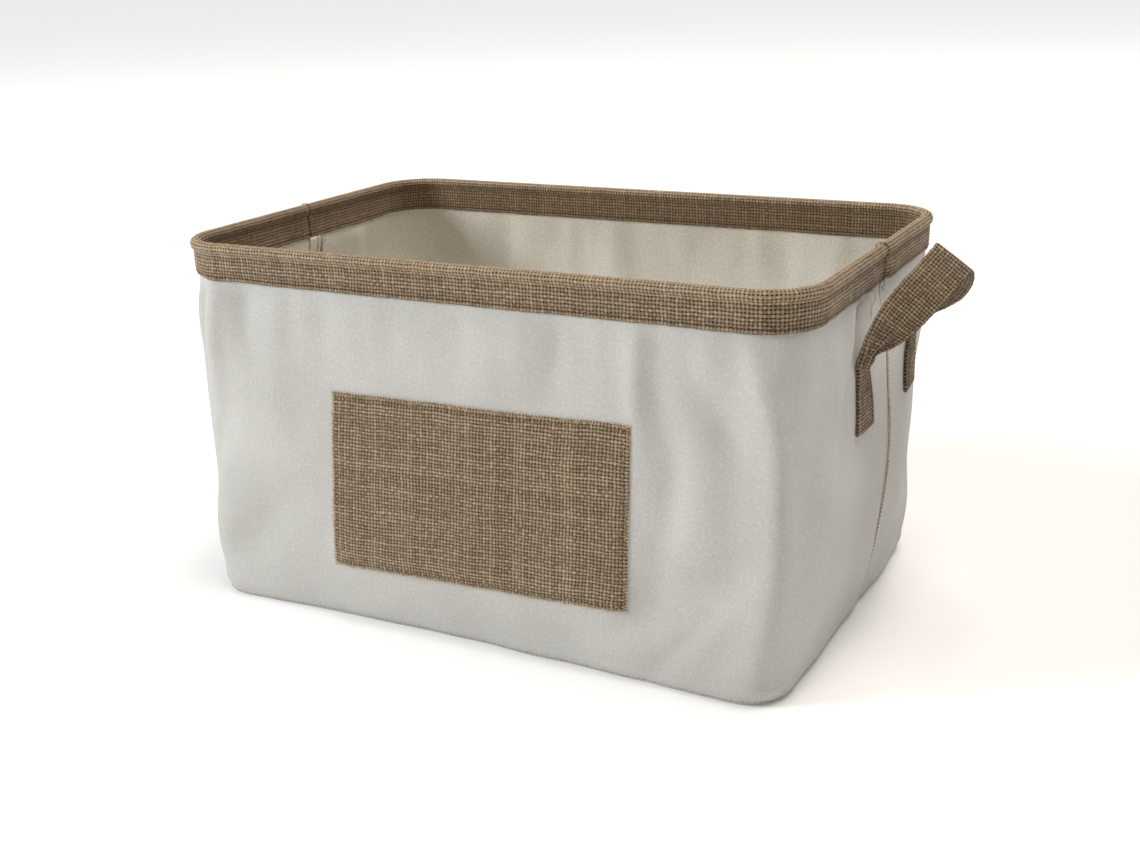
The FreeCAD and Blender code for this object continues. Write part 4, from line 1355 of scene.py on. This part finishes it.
def sew_band(wall, sewing):
    burlap = settings().burlap
    row = wall.band_bottom + 2.6 * MM
    outside = burlap.thickness + 0.30 * MM
    inside = -wall.thickness - burlap.thickness - 0.30 * MM
    lines = run_round(wall, row, outside) + run_round(wall, row, inside)
    obj = stitched("band_stitches", lines, MATERIALS["jute"], sewing.stitch_pitch, sewing.stitch_length,
                   sewing.thread_radius, 0.15, sewing.seed)
    root_piece(obj, "jute_thread", "rim_band_stitching")
    profile, _ = band_profile(wall, burlap)
    slope = np.gradient(profile, axis=0)
    slope /= np.linalg.norm(slope, axis=1, keepdims=True)
    raised = profile[2:-2] + 0.62 * MM * np.stack([slope[:, 1], -slope[:, 0]], -1)[2:-2]
    half = wall.thickness / 2
    for side in (RIGHT, LEFT):
        wave = np.array([1.0 * MM * noise.noise(Vector((i * 0.35, side, 0))) for i in range(len(raised))])
        travel = side * (1 - (1.2 * MM + wave) / wall.half_lap())
        points, _ = wall.surface(BACK, travel, raised[:, 1], raised[:, 0] - half)
        seam = stitched(f"{SIDE_NAMES[side]}_band_seam_stitches", [seam_row(points)], MATERIALS["jute"],
                        SEAM_PITCH, SEAM_STITCH, 0.34 * MM, 0.2, sewing.seed + 1)
        root_piece(seam, "jute_thread", f"{SIDE_NAMES[side]}_band_seam_stitching")


def sew_body(wall, sewing):
    """Tan thread up both side seams and round the foot, with its small cross stitches."""
    obj = stitched("base_seam_stitches", run_round(wall, 2.0 * MM, 0.06 * MM), MATERIALS["tan"],
                   sewing.stitch_pitch, sewing.stitch_length, 0.17 * MM, 0.06, sewing.seed)
    root_piece(obj, "tan_thread", "base_seam_stitching")
    for side in (RIGHT, LEFT):
        name = SIDE_NAMES[side]
        line = run_up(wall, side, 0.28 * MM, 0.5 * MM)
        seam = stitched(f"{name}_seam_stitches", [seam_row(line)], MATERIALS["tan"], SEAM_PITCH,
                        SEAM_STITCH, 0.3 * MM, 0.08, sewing.seed)
        root_piece(seam, "tan_thread", f"{name}_seam_stitching")
        ticks = run_up(wall, side, 0.16 * MM, 1.9 * MM)
        lay = np.tile((0, 1, 0.35), (len(ticks), 1))
        tick_row = stitched(f"{name}_seam_cross_stitches", [(ticks, lay)], MATERIALS["tan"], SEAM_PITCH,
                            2.4 * MM, 0.2 * MM, 0.2, sewing.seed + 2)
        root_piece(tick_row, "tan_thread")


def sew_allowances(wall, sewing):
    """Raw seam edges inside the bin, pressed to one side and overlocked in tan thread."""
    cloth = settings().cloth
    inside = -wall.thickness
    for side in (RIGHT, LEFT):
        name = SIDE_NAMES[side]
        low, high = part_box(f"{name}_seam_binding")
        half = (high.y - low.y) / 2 / wall.half_lap()
        columns, rows = 9, 90
        travel, height = np.meshgrid(side * (1 - np.linspace(0.05 * half, 2.7 * half, columns)),
                                     np.linspace(low.z, high.z, rows))
        lift = 0.5 * MM + 0.5 * MM * np.linspace(0, 1, columns)[None, :] + np.array(
            [0.5 * MM * noise.noise(Vector((h * 60, side, 4.0))) for h in height[:, 0]])[:, None]
        near_wall, along = wall.surface(BACK, travel, height, inside - 0.05 * MM)
        far_face, _ = wall.surface(BACK, travel, height, inside - 0.9 * MM - lift)
        obj = closed_cloth(f"{name}_seam_allowance", far_face, near_wall, np.stack([along, height], -1),
                           MATERIALS["canvas"], all_inside=True)
        root_piece(obj, "canvas", f"{name}_seam_binding")
        2.65 * half * wall.half_lap()
        edge = far_face[:, -1]
        lay = np.tile((0, 1, 0.25), (rows, 1))
        loops = stitched(f"{name}_seam_overlock", [(edge, lay), seam_row(far_face[:, -4])],
                         MATERIALS["tan"], sewing.overlock_pitch, 3.6 * MM, 0.4 * MM, 0.15, sewing.seed)
        root_piece(loops, "tan_thread")
    low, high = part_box("base_seam_binding")
    lines = []
    for end in (FRONT, BACK):
        columns = 260
        travel, height = np.meshgrid(np.linspace(-1, 1, columns), np.linspace(low.z + 1.2 * MM, high.z, 6))
        lean = np.linspace(0, 1, 6)[:, None] * 0.8 * MM
        near_wall, along = wall.surface(end, travel, height, inside - 0.05 * MM)
        far_face, _ = wall.surface(end, travel, height, inside - 1.0 * MM - lean)
        obj = closed_cloth(f"base_{END_NAMES[end]}_allowance", far_face, near_wall,
                           np.stack([along, height], -1), MATERIALS["canvas"], all_inside=True)
        root_piece(obj, "canvas")
        2 * wall.half_lap()
        lines.append((far_face[-1], np.tile((0, 0, 1.0), (columns, 1))))
    loops = stitched("base_seam_overlock", lines, MATERIALS["tan"], sewing.overlock_pitch, 3.4 * MM,
                     0.26 * MM, 0.2, sewing.seed)
    root_piece(loops, "tan_thread", "base_seam_binding")


def sew_patch(wall, sewing):
    out = settings().burlap.thickness + 0.33 * MM
    lines = [seam_row(side) for side in round_patch(wall, *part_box("patch_stitching"), None, out)]
    obj = stitched("patch_stitches", lines, MATERIALS["jute"], sewing.stitch_pitch,
                   sewing.stitch_length * 0.8, 0.22 * MM, 0.12, sewing.seed)
    root_piece(obj, "jute_thread", "patch_stitching")


def sew_straps(wall, sewing):
    """A stitched box on each sewn strap end, narrower at its top as the strap is gathered there."""
    for side in (RIGHT, LEFT):
        for end in (FRONT, BACK):
            node = f"{SIDE_NAMES[side]}_handle_{END_NAMES[end]}_stitching"
            low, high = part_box(node)
            middle, half = (low.y + high.y) / 2, (high.y - low.y) / 2
            top, half_top = low.z + 17 * MM, 0.72 * half
            foot = low.z - 3 * MM
            lean = -end * (7.5 if (side, end) == (RIGHT, BACK) else 4.0) * MM
            corners = [(lean - half, foot), (lean + half, foot), (0.5 * lean + half_top, top),
                       (0.5 * lean - half_top, top)]
            lines = [seam_row(wall.side_face(side, middle + np.linspace(y0, y1, 30),
                                             np.linspace(z0, z1, 30), STRAP_OUT))
                     for (y0, z0), (y1, z1) in round_trip(corners)]
            obj = stitched(node.replace("stitching", "stitches"), lines, MATERIALS["jute"], STRAP_PITCH,
                           STRAP_STITCH, 0.2 * MM, 0.12, sewing.seed)
            root_piece(obj, "jute_thread", node)


# A loose thread end: where it hangs from, how it falls and which finish it has.
Loose = namedtuple("Loose", "side y top fall drift inside finish")
LOOSE_THREADS = (
    Loose(RIGHT, -0.020, 0.200, 0.013, -0.004, False, "yarn"),
    Loose(RIGHT, -0.027, 0.199, 0.017, 0.003, False, "yarn"),
    Loose(RIGHT, -0.034, 0.200, 0.009, -0.005, False, "yarn"),
    Loose(RIGHT, 0.004, 0.202, 0.010, 0.006, False, "jute"),
    Loose(LEFT, 0.008, 0.200, 0.014, 0.005, True, "tan"),
    Loose(LEFT, 0.013, 0.199, 0.010, -0.004, True, "tan"),
    Loose(LEFT, -0.030, 0.199, 0.011, 0.004, False, "yarn"),
    Loose(LEFT, 0.045, 0.200, 0.008, -0.003, False, "yarn"),
)


def hang_loose_threads(wall, sewing):
    """A few frayed ends that hang from the band beside the two side seams."""
    for slot, finish in (("burlap", "yarn"), ("jute_thread", "jute"), ("tan_thread", "tan")):
        lines = []
        for loose in (thread for thread in LOOSE_THREADS if thread.finish == finish):
            share = np.linspace(0, 1, 24)
            y = loose.y + loose.drift * share ** 2 + 0.0012 * np.sin(share * 7)
            z = loose.top - loose.fall * share
            stand = 0.6 * MM + 2.2 * MM * np.sin(share * math.pi) ** 2 + 1.0 * MM * (1 - share)
            out = -(wall.thickness + stand) if loose.inside else stand
            lines.append(seam_row(wall.side_face(loose.side, y, z, out)))
        obj = stitched(f"loose_{finish}_ends", lines, MATERIALS[finish], 0.45 * MM, 1.2 * MM, 0.17 * MM,
                       0.05, sewing.seed)
        root_piece(obj, slot)


class MakeSewing(Operator):
    """Makes every row of stitching and the overlocked seam edges"""
    bl_idname = "storage_bin.sewing"
    bl_label = "Sewing"

    def execute(self, context):
        wall, sewing = the_wall(), settings().sewing
        for sew in (sew_band, sew_body, sew_allowances, sew_patch, sew_straps, hang_loose_threads):
            sew(wall, sewing)
        return {"FINISHED"}


# --- add-on ---

class StorageBin(PropertyGroup):
    """All settings of the bin."""
    cloth: PointerProperty(type=ClothSizes)
    burlap: PointerProperty(type=BurlapSizes)
    sewing: PointerProperty(type=SewingSizes)
    stage: PointerProperty(type=StageSizes)


class MakeFinishes(Operator):
    """Makes the canvas, burlap, thread and wire materials"""
    bl_idname = "storage_bin.finishes"
    bl_label = "Finishes"

    def execute(self, context):
        make_materials(settings())
        return {"FINISHED"}


STEPS = (MakeStage, MakeFinishes, MakeCanvas, MakeRim, MakePatch, MakeStraps, MakeSewing)


class StorageBinPanel(Panel):
    """Lists the pieces of the bin"""
    bl_idname = "VIEW3D_PT_storage_bin"
    bl_label = "Storage Bin"
    bl_space_type = "VIEW_3D"
    bl_region_type = "UI"
    bl_category = "Storage Bin"

    def draw(self, context):
        for step in STEPS:
            self.layout.operator(step.bl_idname)
        for group in ("cloth", "burlap", "sewing", "stage"):
            box = self.layout.box()
            box.label(text=group.capitalize())
            values = getattr(context.scene.storage_bin, group)
            for name in values.__annotations__:
                box.prop(values, name)


CLASSES = (ClothSizes, BurlapSizes, SewingSizes, StageSizes, StorageBin, *STEPS, StorageBinPanel)


def register():
    for cls in CLASSES:
        bpy.utils.register_class(cls)
    bpy.types.Scene.storage_bin = PointerProperty(type=StorageBin)


def unregister():
    del bpy.types.Scene.storage_bin
    for cls in reversed(CLASSES):
        bpy.utils.unregister_class(cls)


def main():
    register()
    bpy.ops.storage_bin.stage()
    bpy.ops.storage_bin.finishes()
    bpy.ops.storage_bin.canvas()
    bpy.ops.storage_bin.rim()
    bpy.ops.storage_bin.patch()
    bpy.ops.storage_bin.straps()
    bpy.ops.storage_bin.sewing()


if __name__ == "__main__":
    main()
